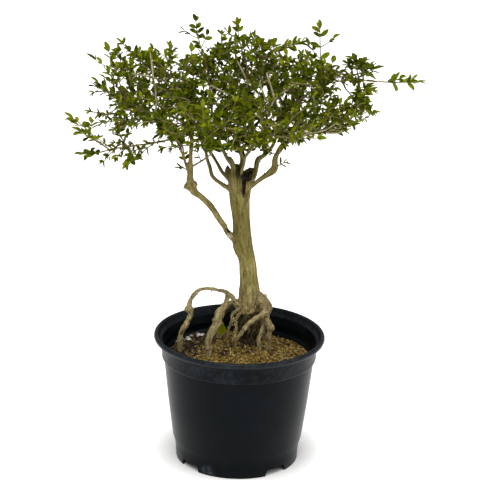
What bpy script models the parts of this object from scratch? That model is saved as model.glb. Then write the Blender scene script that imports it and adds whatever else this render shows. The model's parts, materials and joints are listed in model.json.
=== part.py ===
# A serissa bonsai with exposed roots, standing in a black plastic nursery pot.
# Metres, +Z up, the origin at the middle of the pot's base, -Y towards the viewer.
import itertools
import math
import random

import bpy
from mathutils import Vector
from mathutils.bvhtree import BVHTree
from mathutils.geometry import interpolate_bezier

# The pot, a 165 mm nursery pot
POT_SIDES = 36
RIM_R = 0.0825
POT_H = 0.127
LIP_R = 0.0812
COLLAR_R = 0.0752
BODY_TOP_R = 0.072
BODY_TOP_Z = 0.1005
STEP_R = 0.0628
FOOT_R = 0.0596
WALL = 0.0015
FLOOR_T = 0.002
DISC_R = 0.034
CHANNEL_Z = 0.006
NOTCH_ANGLES = (-49, 40, 131, 221)
NOTCH_H = 0.0055
NOTCH_W = 0.022
DRAIN_R = 0.0045
DRAIN_RING_R = 0.046
DRAINS = 6
DRAIN_TURN = 0.43

# The soil, a turned body whose top follows a formula
GAP = 0.0003
SOIL_EDGE_Z = 0.1005
SOIL_LEVEL = 0.104
SOIL_RINGS = (0.064, 0.052, 0.040, 0.027, 0.013)
MOUND_H = 0.011
MOUND_X = 0.003
MOUND_Y = -0.005
MOUND_W = 0.026
SOCKET_DEPTH = 0.006

# Leaves and twigs
LEAF_T = 0.0008
LEAF_BULGE = 0.36
LEAF_SHOULDER = 0.72
LEAF_TRIES = 12
TERMINAL_LEAF = 0.0105
LONG_LEAF = 0.0100
SIDE_LEAF = 0.0095
TWIG_HALF = 0.0006
TWIG_TIP_HALF = 0.00045
NODE_LENGTH = 0.0013
SPRAY_LENGTH = 0.050
SMALL_SPRAY_LENGTH = 0.026
STEM_R = 0.0016
STEM_TIP_R = 0.00085
STEM_BANDS = 3
STEM_STEP = 0.004
STEM_CLEAR = 0.003
STEM_REACH = 0.030
STEM_SHORTEST = 0.026
CROWN_BASE = Vector((0, 0.006, 0.300))
LIMB_BARE_Z = 0.285
UP = Vector((0, 0, 1))

# Routes of the wood: x, y, z and radius of each point, chosen by eye from the photo
TRUNK = (
    (0.010, 0.008, 0.147, 0.0112),
    (0.009, 0.008, 0.154, 0.0110),
    (0.009, 0.008, 0.165, 0.0102),
    (0.008, 0.008, 0.178, 0.0088),
    (0.005, 0.008, 0.200, 0.0080),
    (0.001, 0.008, 0.214, 0.0092),
    (-0.001, 0.007, 0.240, 0.0082),
    (-0.003, 0.006, 0.262, 0.0096),
    (-0.003, 0.006, 0.275, 0.0112),
    (-0.003, 0.006, 0.287, 0.0118),
)
ROOT_CORE = (
    (0.010, 0.008, 0.152, 0.0100),
    (0.010, 0.008, 0.142, 0.0055),
    (0.009, 0.009, 0.130, 0.0045),
    (0.009, 0.009, 0.120, 0.0085),
    (0.009, 0.009, 0.1165, 0.0100),
)
ROOTS = {
    "arch": (
        (0.006, 0.006, 0.148, 0.0034),
        (-0.002, 0.003, 0.154, 0.0031),
        (-0.008, 0.002, 0.163, 0.0029),
        (-0.014, 0.001, 0.168, 0.0029),
        (-0.021, 0.000, 0.170, 0.0024),
        (-0.031, -0.001, 0.172, 0.0023),
        (-0.040, -0.002, 0.170, 0.0023),
        (-0.046, -0.002, 0.163, 0.0026),
        (-0.049, -0.002, 0.155, 0.0046),
        (-0.047, -0.002, 0.146, 0.0026),
        (-0.051, -0.002, 0.136, 0.0028),
        (-0.056, -0.002, 0.127, 0.0026),
        (-0.057, -0.002, 0.118, 0.0026),
    ),
    "knotty": (
        (-0.013, 0.001, 0.168, 0.0027),
        (-0.013, -0.002, 0.160, 0.0032),
        (-0.016, -0.005, 0.154, 0.0030),
        (-0.020, -0.008, 0.149, 0.0044),
        (-0.022, -0.012, 0.141, 0.0036),
        (-0.027, -0.016, 0.131, 0.0036),
        (-0.029, -0.019, 0.123, 0.0030),
    ),
    "thin_left": (
        (0.003, 0.004, 0.152, 0.0017),
        (-0.006, 0.000, 0.147, 0.0017),
        (-0.008, 0.000, 0.138, 0.0016),
        (-0.011, 0.001, 0.128, 0.0015),
    ),
    "thin_right": (
        (0.004, 0.003, 0.149, 0.0017),
        (-0.004, -0.002, 0.141, 0.0015),
        (-0.003, -0.004, 0.132, 0.0015),
        (-0.004, -0.006, 0.124, 0.0015),
    ),
    "front": (
        (0.012, 0.006, 0.166, 0.0040),
        (0.019, 0.002, 0.169, 0.0046),
        (0.024, 0.000, 0.164, 0.0044),
        (0.028, -0.002, 0.157, 0.0040),
        (0.027, -0.003, 0.151, 0.0036),
        (0.021, -0.006, 0.148, 0.0031),
        (0.013, -0.008, 0.143, 0.0031),
        (0.006, -0.009, 0.137, 0.0028),
        (0.002, -0.010, 0.130, 0.0024),
        (-0.004, -0.011, 0.123, 0.0020),
    ),
    "right": (
        (0.027, -0.002, 0.155, 0.0030),
        (0.026, -0.003, 0.143, 0.0027),
        (0.029, -0.003, 0.134, 0.0030),
        (0.028, -0.002, 0.123, 0.0026),
    ),
    "right_back": (
        (0.020, 0.002, 0.152, 0.0023),
        (0.022, -0.001, 0.139, 0.0019),
        (0.020, -0.004, 0.127, 0.0020),
        (0.019, -0.006, 0.120, 0.0022),
    ),
    "back_right": (
        (0.014, 0.014, 0.152, 0.0036),
        (0.020, 0.028, 0.146, 0.0030),
        (0.022, 0.039, 0.134, 0.0028),
        (0.023, 0.044, 0.118, 0.0026),
    ),
    "back_left": (
        (0.004, 0.014, 0.152, 0.0034),
        (-0.007, 0.027, 0.148, 0.0030),
        (-0.016, 0.037, 0.134, 0.0026),
        (-0.021, 0.042, 0.117, 0.0024),
    ),
    "back": (
        (0.011, 0.016, 0.152, 0.0034),
        (0.012, 0.033, 0.142, 0.0028),
        (0.010, 0.044, 0.126, 0.0026),
        (0.010, 0.048, 0.115, 0.0026),
    ),
}
# Thin roots wound round the core: heights with the share of their reach
STRANDS = 5
STRAND_R = 0.0022
STRAND_X = 0.0095
STRAND_Y = 0.0085
STRAND_REACH = 0.0095
STRAND_COURSE = ((0.153, 0.5), (0.144, 0.9), (0.135, 1.0), (0.126, 0.95), (0.118, 0.5))
LIMBS = {
    "left": (
        (0.001, 0.007, 0.212, 0.0056),
        (-0.010, 0.002, 0.224, 0.0043),
        (-0.019, -0.002, 0.238, 0.0039),
        (-0.029, -0.006, 0.255, 0.0040),
        (-0.039, -0.009, 0.266, 0.0040),
        (-0.048, -0.011, 0.275, 0.0050),
        (-0.049, -0.014, 0.300, 0.0032),
        (-0.049, -0.016, 0.313, 0.0030),
        (-0.048, -0.020, 0.332, 0.0028),
        (-0.053, -0.022, 0.347, 0.0026),
        (-0.060, -0.018, 0.362, 0.0022),
        (-0.074, -0.010, 0.376, 0.0018),
    ),
    "left_stub": (
        (-0.048, -0.011, 0.274, 0.0036),
        (-0.055, -0.011, 0.277, 0.0034),
    ),
    "left_long": (
        (-0.050, -0.013, 0.286, 0.0020),
        (-0.055, -0.016, 0.304, 0.0018),
        (-0.062, -0.020, 0.322, 0.0018),
        (-0.080, -0.024, 0.321, 0.0016),
        (-0.102, -0.028, 0.318, 0.0014),
        (-0.120, -0.030, 0.316, 0.0013),
    ),
    "left_mid": (
        (-0.048, -0.020, 0.330, 0.0020),
        (-0.062, -0.020, 0.343, 0.0018),
        (-0.086, -0.018, 0.348, 0.0016),
        (-0.108, -0.016, 0.349, 0.0013),
    ),
    "left_low": (
        (-0.009, 0.006, 0.267, 0.0024),
        (-0.017, 0.007, 0.272, 0.0021),
        (-0.029, 0.010, 0.281, 0.0019),
        (-0.033, 0.014, 0.293, 0.0018),
        (-0.042, 0.026, 0.315, 0.0016),
        (-0.054, 0.040, 0.336, 0.0014),
    ),
    "left_thin": (
        (-0.009, 0.009, 0.272, 0.0022),
        (-0.021, 0.015, 0.286, 0.0018),
        (-0.027, 0.022, 0.294, 0.0017),
        (-0.037, 0.034, 0.306, 0.0016),
        (-0.048, 0.058, 0.330, 0.0013),
    ),
    "left_thick": (
        (-0.008, 0.003, 0.276, 0.0034),
        (-0.009, 0.002, 0.293, 0.0032),
        (-0.015, 0.005, 0.299, 0.0026),
        (-0.024, 0.010, 0.316, 0.0021),
        (-0.030, 0.012, 0.340, 0.0018),
        (-0.033, 0.006, 0.366, 0.0015),
        (-0.036, 0.002, 0.388, 0.0012),
    ),
    "middle": (
        (-0.002, 0.006, 0.280, 0.0026),
        (-0.002, 0.008, 0.300, 0.0023),
        (-0.007, 0.005, 0.312, 0.0022),
        (-0.006, -0.004, 0.330, 0.0020),
        (-0.003, -0.010, 0.350, 0.0018),
        (0.003, -0.010, 0.372, 0.0015),
        (0.001, -0.006, 0.392, 0.0012),
    ),
    "middle_back": (
        (-0.003, 0.010, 0.278, 0.0024),
        (-0.002, 0.022, 0.296, 0.0021),
        (0.004, 0.040, 0.318, 0.0018),
        (0.002, 0.062, 0.344, 0.0014),
    ),
    "middle_front": (
        (-0.003, 0.000, 0.276, 0.0023),
        (0.000, -0.018, 0.300, 0.0019),
        (0.004, -0.038, 0.322, 0.0017),
        (0.001, -0.058, 0.342, 0.0014),
    ),
    "right_up": (
        (0.004, 0.006, 0.274, 0.0030),
        (0.010, 0.009, 0.280, 0.0027),
        (0.013, 0.011, 0.296, 0.0032),
        (0.020, 0.015, 0.301, 0.0025),
        (0.028, 0.019, 0.311, 0.0024),
        (0.031, 0.021, 0.327, 0.0022),
        (0.030, 0.020, 0.345, 0.0020),
        (0.024, 0.024, 0.364, 0.0016),
        (0.020, 0.028, 0.384, 0.0012),
    ),
    "right_arm": (
        (0.030, 0.020, 0.338, 0.0019),
        (0.046, 0.018, 0.350, 0.0018),
        (0.060, 0.012, 0.363, 0.0017),
        (0.076, 0.006, 0.374, 0.0015),
        (0.097, 0.002, 0.378, 0.0013),
        (0.115, -0.002, 0.379, 0.0012),
    ),
    "right_low": (
        (0.003, 0.004, 0.269, 0.0032),
        (0.015, -0.002, 0.281, 0.0028),
        (0.028, -0.006, 0.293, 0.0038),
        (0.030, -0.009, 0.307, 0.0029),
        (0.036, -0.010, 0.318, 0.0024),
        (0.052, -0.012, 0.327, 0.0020),
        (0.070, -0.014, 0.333, 0.0016),
    ),
    "right_back": (
        (0.030, -0.009, 0.306, 0.0022),
        (0.044, 0.010, 0.322, 0.0019),
        (0.060, 0.032, 0.338, 0.0016),
        (0.072, 0.050, 0.352, 0.0013),
    ),
}

# Tips of the sprays that make the crown's outline, read off the photo
OUTER_TIPS = (
    (-0.157, -0.020, 0.341),
    (-0.148, -0.045, 0.335),
    (-0.145, -0.033, 0.311),
    (-0.103, -0.050, 0.309),
    (-0.137, 0.015, 0.367),
    (-0.128, 0.025, 0.394),
    (-0.112, -0.010, 0.409),
    (-0.124, -0.040, 0.390),
    (-0.089, 0.046, 0.390),
    (-0.066, -0.068, 0.419),
    (-0.053, 0.080, 0.384),
    (-0.047, 0.010, 0.428),
    (-0.009, 0.005, 0.426),
    (0.007, -0.047, 0.426),
    (0.027, 0.062, 0.398),
    (0.046, -0.058, 0.424),
    (0.067, 0.005, 0.424),
    (0.083, 0.074, 0.378),
    (0.098, -0.020, 0.402),
    (0.115, 0.032, 0.384),
    (0.157, -0.005, 0.380),
    (0.108, -0.034, 0.372),
    (0.114, 0.016, 0.346),
    (0.101, -0.048, 0.351),
    (0.091, -0.012, 0.334),
    (0.064, -0.084, 0.345),
    (-0.079, 0.040, 0.312),
    (-0.030, -0.044, 0.322),
)
# The sprays behind and in front of them, by a rule
INNER_SPRAYS = 10
CROWN_X = -0.006
CROWN_Y = 0.006
CROWN_RX = 0.095
CROWN_RY = 0.112
CROWN_LOW_Z = 0.330
CROWN_TOP_Z = 0.402
TIP_SPACING = 0.042
GOLDEN_ANGLE = math.pi * (3 - math.sqrt(5))
CROWN_SEED = 20
# Small sprays in the emptiest places of the crown's lobes, each a middle and half widths
LOBES = (
    ((-0.088, 0.000, 0.348), (0.045, 0.075, 0.032)),
    ((-0.086, 0.000, 0.352), (0.045, 0.065, 0.036)),
    ((-0.006, 0.006, 0.372), (0.085, 0.080, 0.036)),
)
SMALL_SPRAYS = 9
LOBE_TRIES = 80
SMALL_SEED = 1
# The leaf among the roots: its ends, its width, and the short woody shoot that it grows from
ROOT_SHOOT = ((-0.0112, -0.0008, 0.127), (-0.0175, -0.0062, 0.139))
SHOOT_LEAF_WIDTH = 0.0078
SHOOT_FROM = (0.002, 0.0015, -0.001)
SHOOT_R = 0.0009


def material(name, colour, roughness):
    made = bpy.data.materials.new(name)
    made.use_nodes = True
    shader = made.node_tree.nodes["Principled BSDF"]
    shader.inputs["Base Color"].default_value = (*colour, 1)
    shader.inputs["Roughness"].default_value = roughness
    shader.inputs["Metallic"].default_value = 0
    return made


def new_object(name, verts, faces, paint=None, folder=None):
    mesh = bpy.data.meshes.new(name)
    mesh.from_pydata([tuple(v) for v in verts], [], faces)
    mesh.update()
    if paint:
        mesh.materials.append(paint)
    made = bpy.data.objects.new(name, mesh)
    (folder or bpy.context.scene.collection).objects.link(made)
    return made


def apply_boolean(target, operation, solver, cutter=None, folder=None):
    cut = target.modifiers.new(operation.title(), "BOOLEAN")
    cut.operation = operation
    cut.solver = solver
    if folder:
        cut.operand_type = "COLLECTION"
        cut.collection = folder
    else:
        cut.object = cutter
    graph = bpy.context.evaluated_depsgraph_get()
    mesh = bpy.data.meshes.new_from_object(target.evaluated_get(graph))
    target.modifiers.remove(cut)
    target.data = mesh
    for used in list(folder.objects) if folder else [cutter]:
        bpy.data.objects.remove(used, do_unlink=True)


# Turned bodies

def turned(profile, sides, height=None):
    # The profile runs from the axis outwards and back to it; height may lift a point by its place
    verts = []
    loops = []
    for radius, z in profile:
        loop = []
        for k in range(sides if radius else 1):
            angle = 2 * math.pi * k / sides
            x = radius * math.cos(angle)
            y = radius * math.sin(angle)
            loop.append(len(verts))
            verts.append((x, y, z if z is not None else height(x, y)))
        loops.append(loop)
    faces = []
    for low, high in zip(loops, loops[1:]):
        for k in range(sides):
            after = (k + 1) % sides
            if len(low) == 1:
                faces.append((low[0], high[after], high[k]))
            elif len(high) == 1:
                faces.append((low[k], low[after], high[0]))
            else:
                faces.append((low[k], low[after], high[after], high[k]))
    return verts, faces


def pot_profile():
    inner_step = STEP_R - WALL
    inner_foot = FOOT_R - WALL + 0.0006
    floor_top = CHANNEL_Z + FLOOR_T
    return (
        (0, 0),
        (DISC_R, 0),
        (DISC_R + 0.0022, CHANNEL_Z),
        (FOOT_R - 0.0028, CHANNEL_Z),
        (FOOT_R - 0.0022, 0),
        (FOOT_R, 0),
        (FOOT_R + 0.0007, 0.014),
        (STEP_R, 0.018),
        (BODY_TOP_R, BODY_TOP_Z),
        (COLLAR_R - 0.0006, BODY_TOP_Z + 0.002),
        (COLLAR_R, POT_H - 0.0065),
        (RIM_R - 0.0018, POT_H - 0.0054),
        (RIM_R, POT_H - 0.0030),
        (LIP_R, POT_H),
        (LIP_R - 0.0018, POT_H),
        (RIM_R - 0.0050, POT_H - 0.0040),
        (COLLAR_R - WALL, POT_H - 0.0067),
        (COLLAR_R - WALL - 0.0006, BODY_TOP_Z + 0.0037),
        (BODY_TOP_R - WALL, BODY_TOP_Z + 0.0017),
        (inner_step, 0.019),
        (inner_foot, 0.0155),
        (inner_foot - 0.0006, floor_top),
        (DISC_R + 0.0018, floor_top),
        (DISC_R, FLOOR_T),
        (0, FLOOR_T),
    )


def prism(centre, radius, bottom, top, sides):
    corners = [
        (
            centre[0] + radius * math.cos(2 * math.pi * (k + 0.5) / sides),
            centre[1] + radius * math.sin(2 * math.pi * (k + 0.5) / sides),
        )
        for k in range(sides)
    ]
    verts = [(x, y, bottom) for x, y in corners] + [(x, y, top) for x, y in corners]
    faces = [tuple(reversed(range(sides))), tuple(range(sides, 2 * sides))]
    for k in range(sides):
        after = (k + 1) % sides
        faces.append((k, after, after + sides, k + sides))
    return verts, faces


def build_pot(paint):
    pot = new_object("pot", *turned(pot_profile(), POT_SIDES), paint)
    below = -0.001
    for degrees in NOTCH_ANGLES:
        angle = math.radians(degrees - 90)
        outward = Vector((math.cos(angle), math.sin(angle), 0))
        along = Vector((-outward.y, outward.x, 0))
        box = []
        for z in (below, NOTCH_H):
            for out, side in ((0.052, -1), (0.066, -1), (0.066, 1), (0.052, 1)):
                box.append(outward * out + along * side * NOTCH_W / 2 + UP * z)
        sides = [(0, 3, 2, 1), (4, 5, 6, 7)]
        sides += [(k, (k + 1) % 4, (k + 1) % 4 + 4, k + 4) for k in range(4)]
        apply_boolean(pot, "DIFFERENCE", "EXACT", new_object("notch", box, sides))
    for k in range(DRAINS):
        angle = 2 * math.pi * (k + DRAIN_TURN) / DRAINS
        centre = (DRAIN_RING_R * math.cos(angle), DRAIN_RING_R * math.sin(angle))
        hole = prism(centre, DRAIN_R, CHANNEL_Z - 0.002, CHANNEL_Z + FLOOR_T + 0.002, 6)
        apply_boolean(pot, "DIFFERENCE", "EXACT", new_object("drain", *hole))
    return pot


def soil_height(x, y):
    across = (x - MOUND_X) ** 2 + (y - MOUND_Y) ** 2
    mound = MOUND_H * math.exp(-across / (2 * MOUND_W**2))
    ripple = math.sin(x * 190 + 1) * math.sin(y * 160 + 2)
    lumps = math.sin(x * 420 + y * 250) * math.sin(y * 390 - x * 180)
    return SOIL_LEVEL - 0.03 * (x + y) + mound + 0.0012 * ripple + 0.0006 * lumps


def build_soil(paint, feet):
    inner_foot = FOOT_R - WALL + 0.0006
    bottom = CHANNEL_Z + FLOOR_T + GAP
    profile = [
        (0, FLOOR_T + GAP),
        (DISC_R - 2 * GAP, FLOOR_T + GAP),
        (DISC_R + 0.0018 - GAP, bottom),
        (inner_foot - 0.0006 - 1.2 * GAP, bottom),
        (inner_foot - 1.4 * GAP, 0.0157),
        (STEP_R - WALL - 1.4 * GAP, 0.0192),
        (BODY_TOP_R - WALL - 1.8 * GAP, SOIL_EDGE_Z),
    ]
    profile += [(radius, None) for radius in SOIL_RINGS]
    profile.append((0, None))
    soil = new_object("soil", *turned(profile, POT_SIDES, soil_height), paint)
    for x, y, radius, sides in feet:
        hole_r = (radius + GAP) / math.cos(math.pi / sides) + GAP
        floor = soil_height(x, y) - SOCKET_DEPTH - GAP
        hole = prism((x, y), hole_r, floor, SOIL_LEVEL + 0.03, sides)
        apply_boolean(soil, "DIFFERENCE", "EXACT", new_object("socket", *hole))
    return soil


# Wood

def tube(route, sides, turn=0.0):
    # A closed tube through points with radii, its frame carried along without twist
    points = [Vector(p[:3]) for p in route]
    count = len(points)
    side = None
    verts = []
    for k in range(count):
        ahead = points[min(k + 1, count - 1)] - points[max(k - 1, 0)]
        ahead.normalize()
        if side is None:
            side = ahead.orthogonal().normalized()
        side = (side - ahead * side.dot(ahead)).normalized()
        other = ahead.cross(side)
        for j in range(sides):
            angle = 2 * math.pi * j / sides + turn
            out = side * math.cos(angle) + other * math.sin(angle)
            verts.append(points[k] + out * route[k][3])
    faces = [tuple(reversed(range(sides)))]
    for k in range(count - 1):
        for j in range(sides):
            after = (j + 1) % sides
            low = k * sides
            high = low + sides
            faces.append((low + j, low + after, high + after, high + j))
    faces.append(tuple(range((count - 1) * sides, count * sides)))
    return verts, faces


def rooted(route):
    # A root goes down plumb at its end into a plain hole in the soil
    x, y, z, radius = route[-1]
    ground = soil_height(x, y)
    plumb_from = ground + radius + 0.0012
    bend = ((x, y, plumb_from, radius),) if z > plumb_from + 0.001 else ()
    return route + bend + ((x, y, ground - SOCKET_DEPTH, radius),)


def strand(k):
    # One of the thin roots wound round the core
    turn = 2 * math.pi * k / STRANDS + 0.5
    route = []
    for step, (z, out) in enumerate(STRAND_COURSE):
        angle = turn + 0.35 * step
        reach = out * STRAND_REACH
        x = STRAND_X + reach * math.cos(angle)
        y = STRAND_Y + reach * math.sin(angle)
        route.append((x, y, z, STRAND_R))
    return tuple(route)


def root_feet():
    feet = []
    for route in ROOTS.values():
        feet.append((route[-1][0], route[-1][1], route[-1][3], 8))
    x, y, z, radius = ROOT_CORE[-1]
    feet.append((x, y, radius, 12))
    return feet


def samples(route):
    # Places where a stem may start, at even steps but not near the free end
    places = []
    points = [Vector(p[:3]) for p in route]
    reach = sum((b - a).length for a, b in zip(points, points[1:]))
    gone = 0
    for k in range(len(points) - 1):
        span = points[k + 1] - points[k]
        steps = max(1, round(span.length / STEM_STEP))
        for j in range(steps):
            t = j / steps
            if gone + span.length * t < reach - STEM_CLEAR:
                radius = route[k][3] * (1 - t) + route[k + 1][3] * t
                places.append((points[k] + span * t, span.normalized(), radius))
        gone += span.length
    return places


def spray_tips():
    rng = random.Random(CROWN_SEED)
    tips = [Vector(p) for p in OUTER_TIPS]
    k = 0
    while len(tips) < len(OUTER_TIPS) + INNER_SPRAYS:
        angle = k * GOLDEN_ANGLE
        reach = 0.55 + 0.45 * rng.random()
        x = CROWN_X + CROWN_RX * reach * math.cos(angle)
        y = CROWN_Y + CROWN_RY * reach * math.sin(angle)
        z = CROWN_LOW_Z + (CROWN_TOP_Z - CROWN_LOW_Z) * rng.random()
        tip = Vector((x, y, z))
        if min((tip - other).length for other in tips) > TIP_SPACING:
            tips.append(tip)
        k += 1
    return tips


def stem_to(tip, places, longest):
    # A stem from the nearest wood to where the spray that ends at the tip starts
    def cost(place):
        span = tip - place[0]
        back = max(0, -span.normalized().dot((place[0] - CROWN_BASE).normalized()))
        short = 0.05 if span.length < STEM_SHORTEST else 0
        return abs(span.length - STEM_REACH) + 0.02 * back + short

    start, ahead, radius = min(places, key=cost)
    span = tip - start
    heading = (span.normalized() + ahead * 0.25 + UP * 0.1).normalized()
    length = min(longest, span.length - 0.010)
    begin = tip - (span.normalized() * 0.8 + heading * 0.2).normalized() * length
    final = (tip - begin).normalized()
    reach = (begin - start).length
    first = start + heading * reach * 0.4
    second = begin - final * reach * 0.35
    first_r = min(STEM_R, radius * 0.85)
    last_r = min(STEM_TIP_R, first_r)
    curve = interpolate_bezier(start, first, second, begin, STEM_BANDS + 1)
    route = tuple(
        (*p, first_r + (last_r - first_r) * k / STEM_BANDS) for k, p in enumerate(curve)
    )
    return route, begin, final, tip


def place_in(rng, lobe):
    middle, half = lobe
    while True:
        share = Vector([rng.uniform(-1, 1) for _ in range(3)])
        if share.length < 1:
            return Vector([m + h * s for m, h, s in zip(middle, half, share)])


def grow_stems():
    # A stem for each spray, the lowest first, then for the small sprays between them
    places = []
    for route in LIMBS.values():
        places += [p for p in samples(route) if p[0].z > LIMB_BARE_Z]
    tips = spray_tips()
    stems = {}
    for i in sorted(range(len(tips)), key=lambda i: (tips[i] - CROWN_BASE).length):
        stems[i] = stem_to(tips[i], places, SPRAY_LENGTH)
        places += samples(stems[i][0])
    leafy = []
    for route, begin, final, tip in stems.values():
        leafy += [begin.lerp(tip, t) for t in (0.2, 0.5, 0.8, 1)]
    rng = random.Random(SMALL_SEED)
    for i in range(len(tips), len(tips) + SMALL_SPRAYS):
        tries = [place_in(rng, LOBES[i % len(LOBES)]) for _ in range(LOBE_TRIES)]
        tip = max(tries, key=lambda place: min((place - p).length for p in leafy))
        stems[i] = stem_to(tip, places, SMALL_SPRAY_LENGTH)
        places += samples(stems[i][0])
        leafy += [stems[i][1].lerp(tip, t) for t in (0.2, 0.5, 0.8, 1)]
    return stems


def build_wood(paint, stems):
    parts = bpy.data.collections.new("wood parts")
    bpy.context.scene.collection.children.link(parts)
    shapes = [(rooted(ROOT_CORE), 10)]
    shapes += [(rooted(route), 6) for route in ROOTS.values()]
    shapes += [(strand(k), 4) for k in range(STRANDS)]
    shapes += [(route, 6 if route[0][3] > 0.003 else 5) for route in LIMBS.values()]
    shapes += [(stems[i][0], 4) for i in sorted(stems)]
    for k, (route, sides) in enumerate(shapes):
        new_object("part", *tube(route, sides, 0.3 + 0.37 * k), None, parts)
    end = Vector(ROOT_SHOOT[0])
    shoot = ((*(end + Vector(SHOOT_FROM)), SHOOT_R), (*end, SHOOT_R))
    new_object("part", *tube(shoot, 4), None, parts)
    wood = new_object("wood", *tube(TRUNK, 12, 0.1), paint)
    apply_boolean(wood, "UNION", "MANIFOLD", folder=parts)
    bpy.data.collections.remove(parts)
    return wood


# Sprays

def frame_of(ahead, hint):
    side = hint.cross(ahead).normalized()
    return side, ahead.cross(side)


def hint_for(chord):
    return UP if abs(chord.normalized().z) < 0.85 else Vector((0.35, -0.9, 0.2)).normalized()


def leaf_plan(rng, place, along, outward, up, spread, size):
    # A blade leans between its twig's course and the side it grows from
    lean = math.radians(spread + rng.uniform(-9, 9))
    ahead = along * math.cos(lean) + outward * math.sin(lean) + up * rng.uniform(-0.10, 0.22)
    ahead.normalize()
    face = up * 0.9 + along * 0.45 + Vector([rng.uniform(-0.35, 0.35) for _ in range(3)])
    face = (face - ahead * face.dot(ahead)).normalized()
    length = size * rng.uniform(0.82, 1.15)
    return (place, ahead, face, length, length * rng.uniform(0.42, 0.5))


def side_twig_plan(rng, place, along, outward, up, length):
    lean = math.radians(rng.uniform(42, 60))
    chord = along * math.cos(lean) + outward * math.sin(lean) + up * rng.uniform(-0.05, 0.3)
    chord.normalize()
    bend = along * 0.16 + up * rng.uniform(-0.04, 0.12)
    middle = place + chord * length * 0.5 - bend * length * 0.5
    end = place + chord * length + bend * length * 0.2
    return (place, middle, end)


def bezier(points, t):
    a, b, c = points
    return a * (1 - t) ** 2 + b * 2 * t * (1 - t) + c * t**2


def heading(points, t):
    a, b, c = points
    return ((b - a) * (1 - t) + (c - b) * t).normalized()


def main_twig(rng, begin, final, tip):
    length = (tip - begin).length
    bow = Vector([rng.uniform(-1, 1) for _ in range(3)]) * length * 0.06
    start = begin + final * GAP
    return start, start + final * length * 0.5 + bow, tip


def leaf_pair(rng, route, hint, t, spread, size):
    along = heading(route, t)
    side, up = frame_of(along, hint)
    place = bezier(route, t)
    return [(out, leaf_plan(rng, place, along, side * out, up, spread, size)) for out in (1, -1)]


def last_leaf(rng, route, hint, t, lean, size):
    # The leaf at the end of a twig takes its turn from the frame at t
    side, up = frame_of(heading(route, t), hint)
    return leaf_plan(rng, route[2], heading(route, 1), side, up, lean, size)


def spray_plan(begin, final, tip, seed):
    # A leafy spray: its main twig, two side twigs, a pair of leaves and one at the end
    rng = random.Random(seed)
    main = main_twig(rng, begin, final, tip)
    length = (tip - begin).length
    hint = hint_for(tip - main[0])
    handed = rng.choice((-1, 1))
    twigs = []
    for t, way in ((0.30, handed), (0.56, -handed)):
        place = bezier(main, t)
        along = heading(main, t)
        side, up = frame_of(along, hint)
        twig_length = length * rng.uniform(0.34, 0.46) * (1.15 - 0.5 * t)
        route = side_twig_plan(rng, place, along, side * way, up, twig_length)
        opposite = leaf_plan(rng, place, along, -side * way, up, 58, LONG_LEAF)
        at = 0.72
        side_hint = hint_for(route[2] - route[0])
        ends = leaf_pair(rng, route, side_hint, at, 52, SIDE_LEAF)
        terminal = last_leaf(rng, route, side_hint, at, 8, LONG_LEAF)
        twigs.append((t, way, route, at, ends, opposite, terminal))
    t = 0.82
    pairs = [(t, leaf_pair(rng, main, hint, t, 50, LONG_LEAF))]
    return main, hint, twigs, pairs, last_leaf(rng, main, hint, t, 6, TERMINAL_LEAF)


def small_spray_plan(begin, final, tip, seed):
    # A small spray: a twig with two pairs of leaves and one at the end
    rng = random.Random(seed)
    main = main_twig(rng, begin, final, tip)
    hint = hint_for(tip - main[0])
    pairs = [(t, leaf_pair(rng, main, hint, t, 52, LONG_LEAF)) for t in (0.38, 0.74)]
    return main, hint, [], pairs, last_leaf(rng, main, hint, 0.74, 6, TERMINAL_LEAF)


def ring(verts, centre, side, up, half):
    # Corners run anticlockwise about the growing direction; face 3 looks along side
    ids = []
    for a, b in ((1, 1), (-1, 1), (-1, -1), (1, -1)):
        ids.append(len(verts))
        verts.append(centre + (side * a + up * b) * half)
    return ids


def zipped(verts, low, high):
    # Triangles between two loops that turn the same way, the set with the shortest edges
    best = None
    steps = len(low) + len(high)
    for start in range(len(high)):
        for rises in itertools.combinations(range(steps), len(high)):
            i = 0
            j = start
            faces = []
            pairs = set()
            total = 0
            for step in range(steps):
                a = low[i % len(low)]
                b = high[j % len(high)]
                pairs.add((a, b))
                total += (verts[a] - verts[b]).length
                if step in rises:
                    j += 1
                    faces.append((a, high[j % len(high)], b))
                else:
                    i += 1
                    faces.append((a, low[i % len(low)], b))
            if len(pairs) == steps and (best is None or total < best[0]):
                best = (total, faces)
    return best[1]


def blade(leaf, grown=0.0, plain=False):
    # The three-cornered rings of a blade, flat on top with a keel below, and its tip
    place, ahead, face, length, width = leaf
    side = face.cross(ahead)
    thick = LEAF_T + grown
    rings = []
    marks = ((LEAF_BULGE, 0.5, 0.0), (LEAF_SHOULDER, 0.36, 0.05))
    if plain:
        marks = ((0.42, 0.5, 0.0),)
    for at, wide, sink in marks:
        centre = place + ahead * length * at - face * length * sink
        half = width * wide + grown / 2
        rings.append([centre + side * half, centre - side * half, centre - face * thick])
    point = place + ahead * (length + grown) - face * length * 0.12
    return rings, point


def blade_tree(leaf):
    rings, point = blade(leaf, 0.0008)
    lift = leaf[2] * 0.0005
    verts = [v + lift for v in rings[0] + rings[1]] + [point + lift]
    faces = [(0, 2, 1), (0, 1, 4, 3), (1, 2, 5, 4), (2, 0, 3, 5), (3, 4, 6), (4, 5, 6), (5, 3, 6)]
    return BVHTree.FromPolygons(verts, faces)


def turned_leaf(leaf, tries, seed):
    # The same leaf leaning a little another way for each try
    if not tries:
        return leaf
    rng = random.Random(seed * 31 + tries)
    place, ahead, face, length, width = leaf
    ahead = (ahead + Vector([rng.uniform(-0.5, 0.5) for _ in range(3)])).normalized()
    face = face + Vector([rng.uniform(-0.4, 0.4) for _ in range(3)])
    face = (face - ahead * face.dot(ahead)).normalized()
    return (place, ahead, face, length, width)


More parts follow.
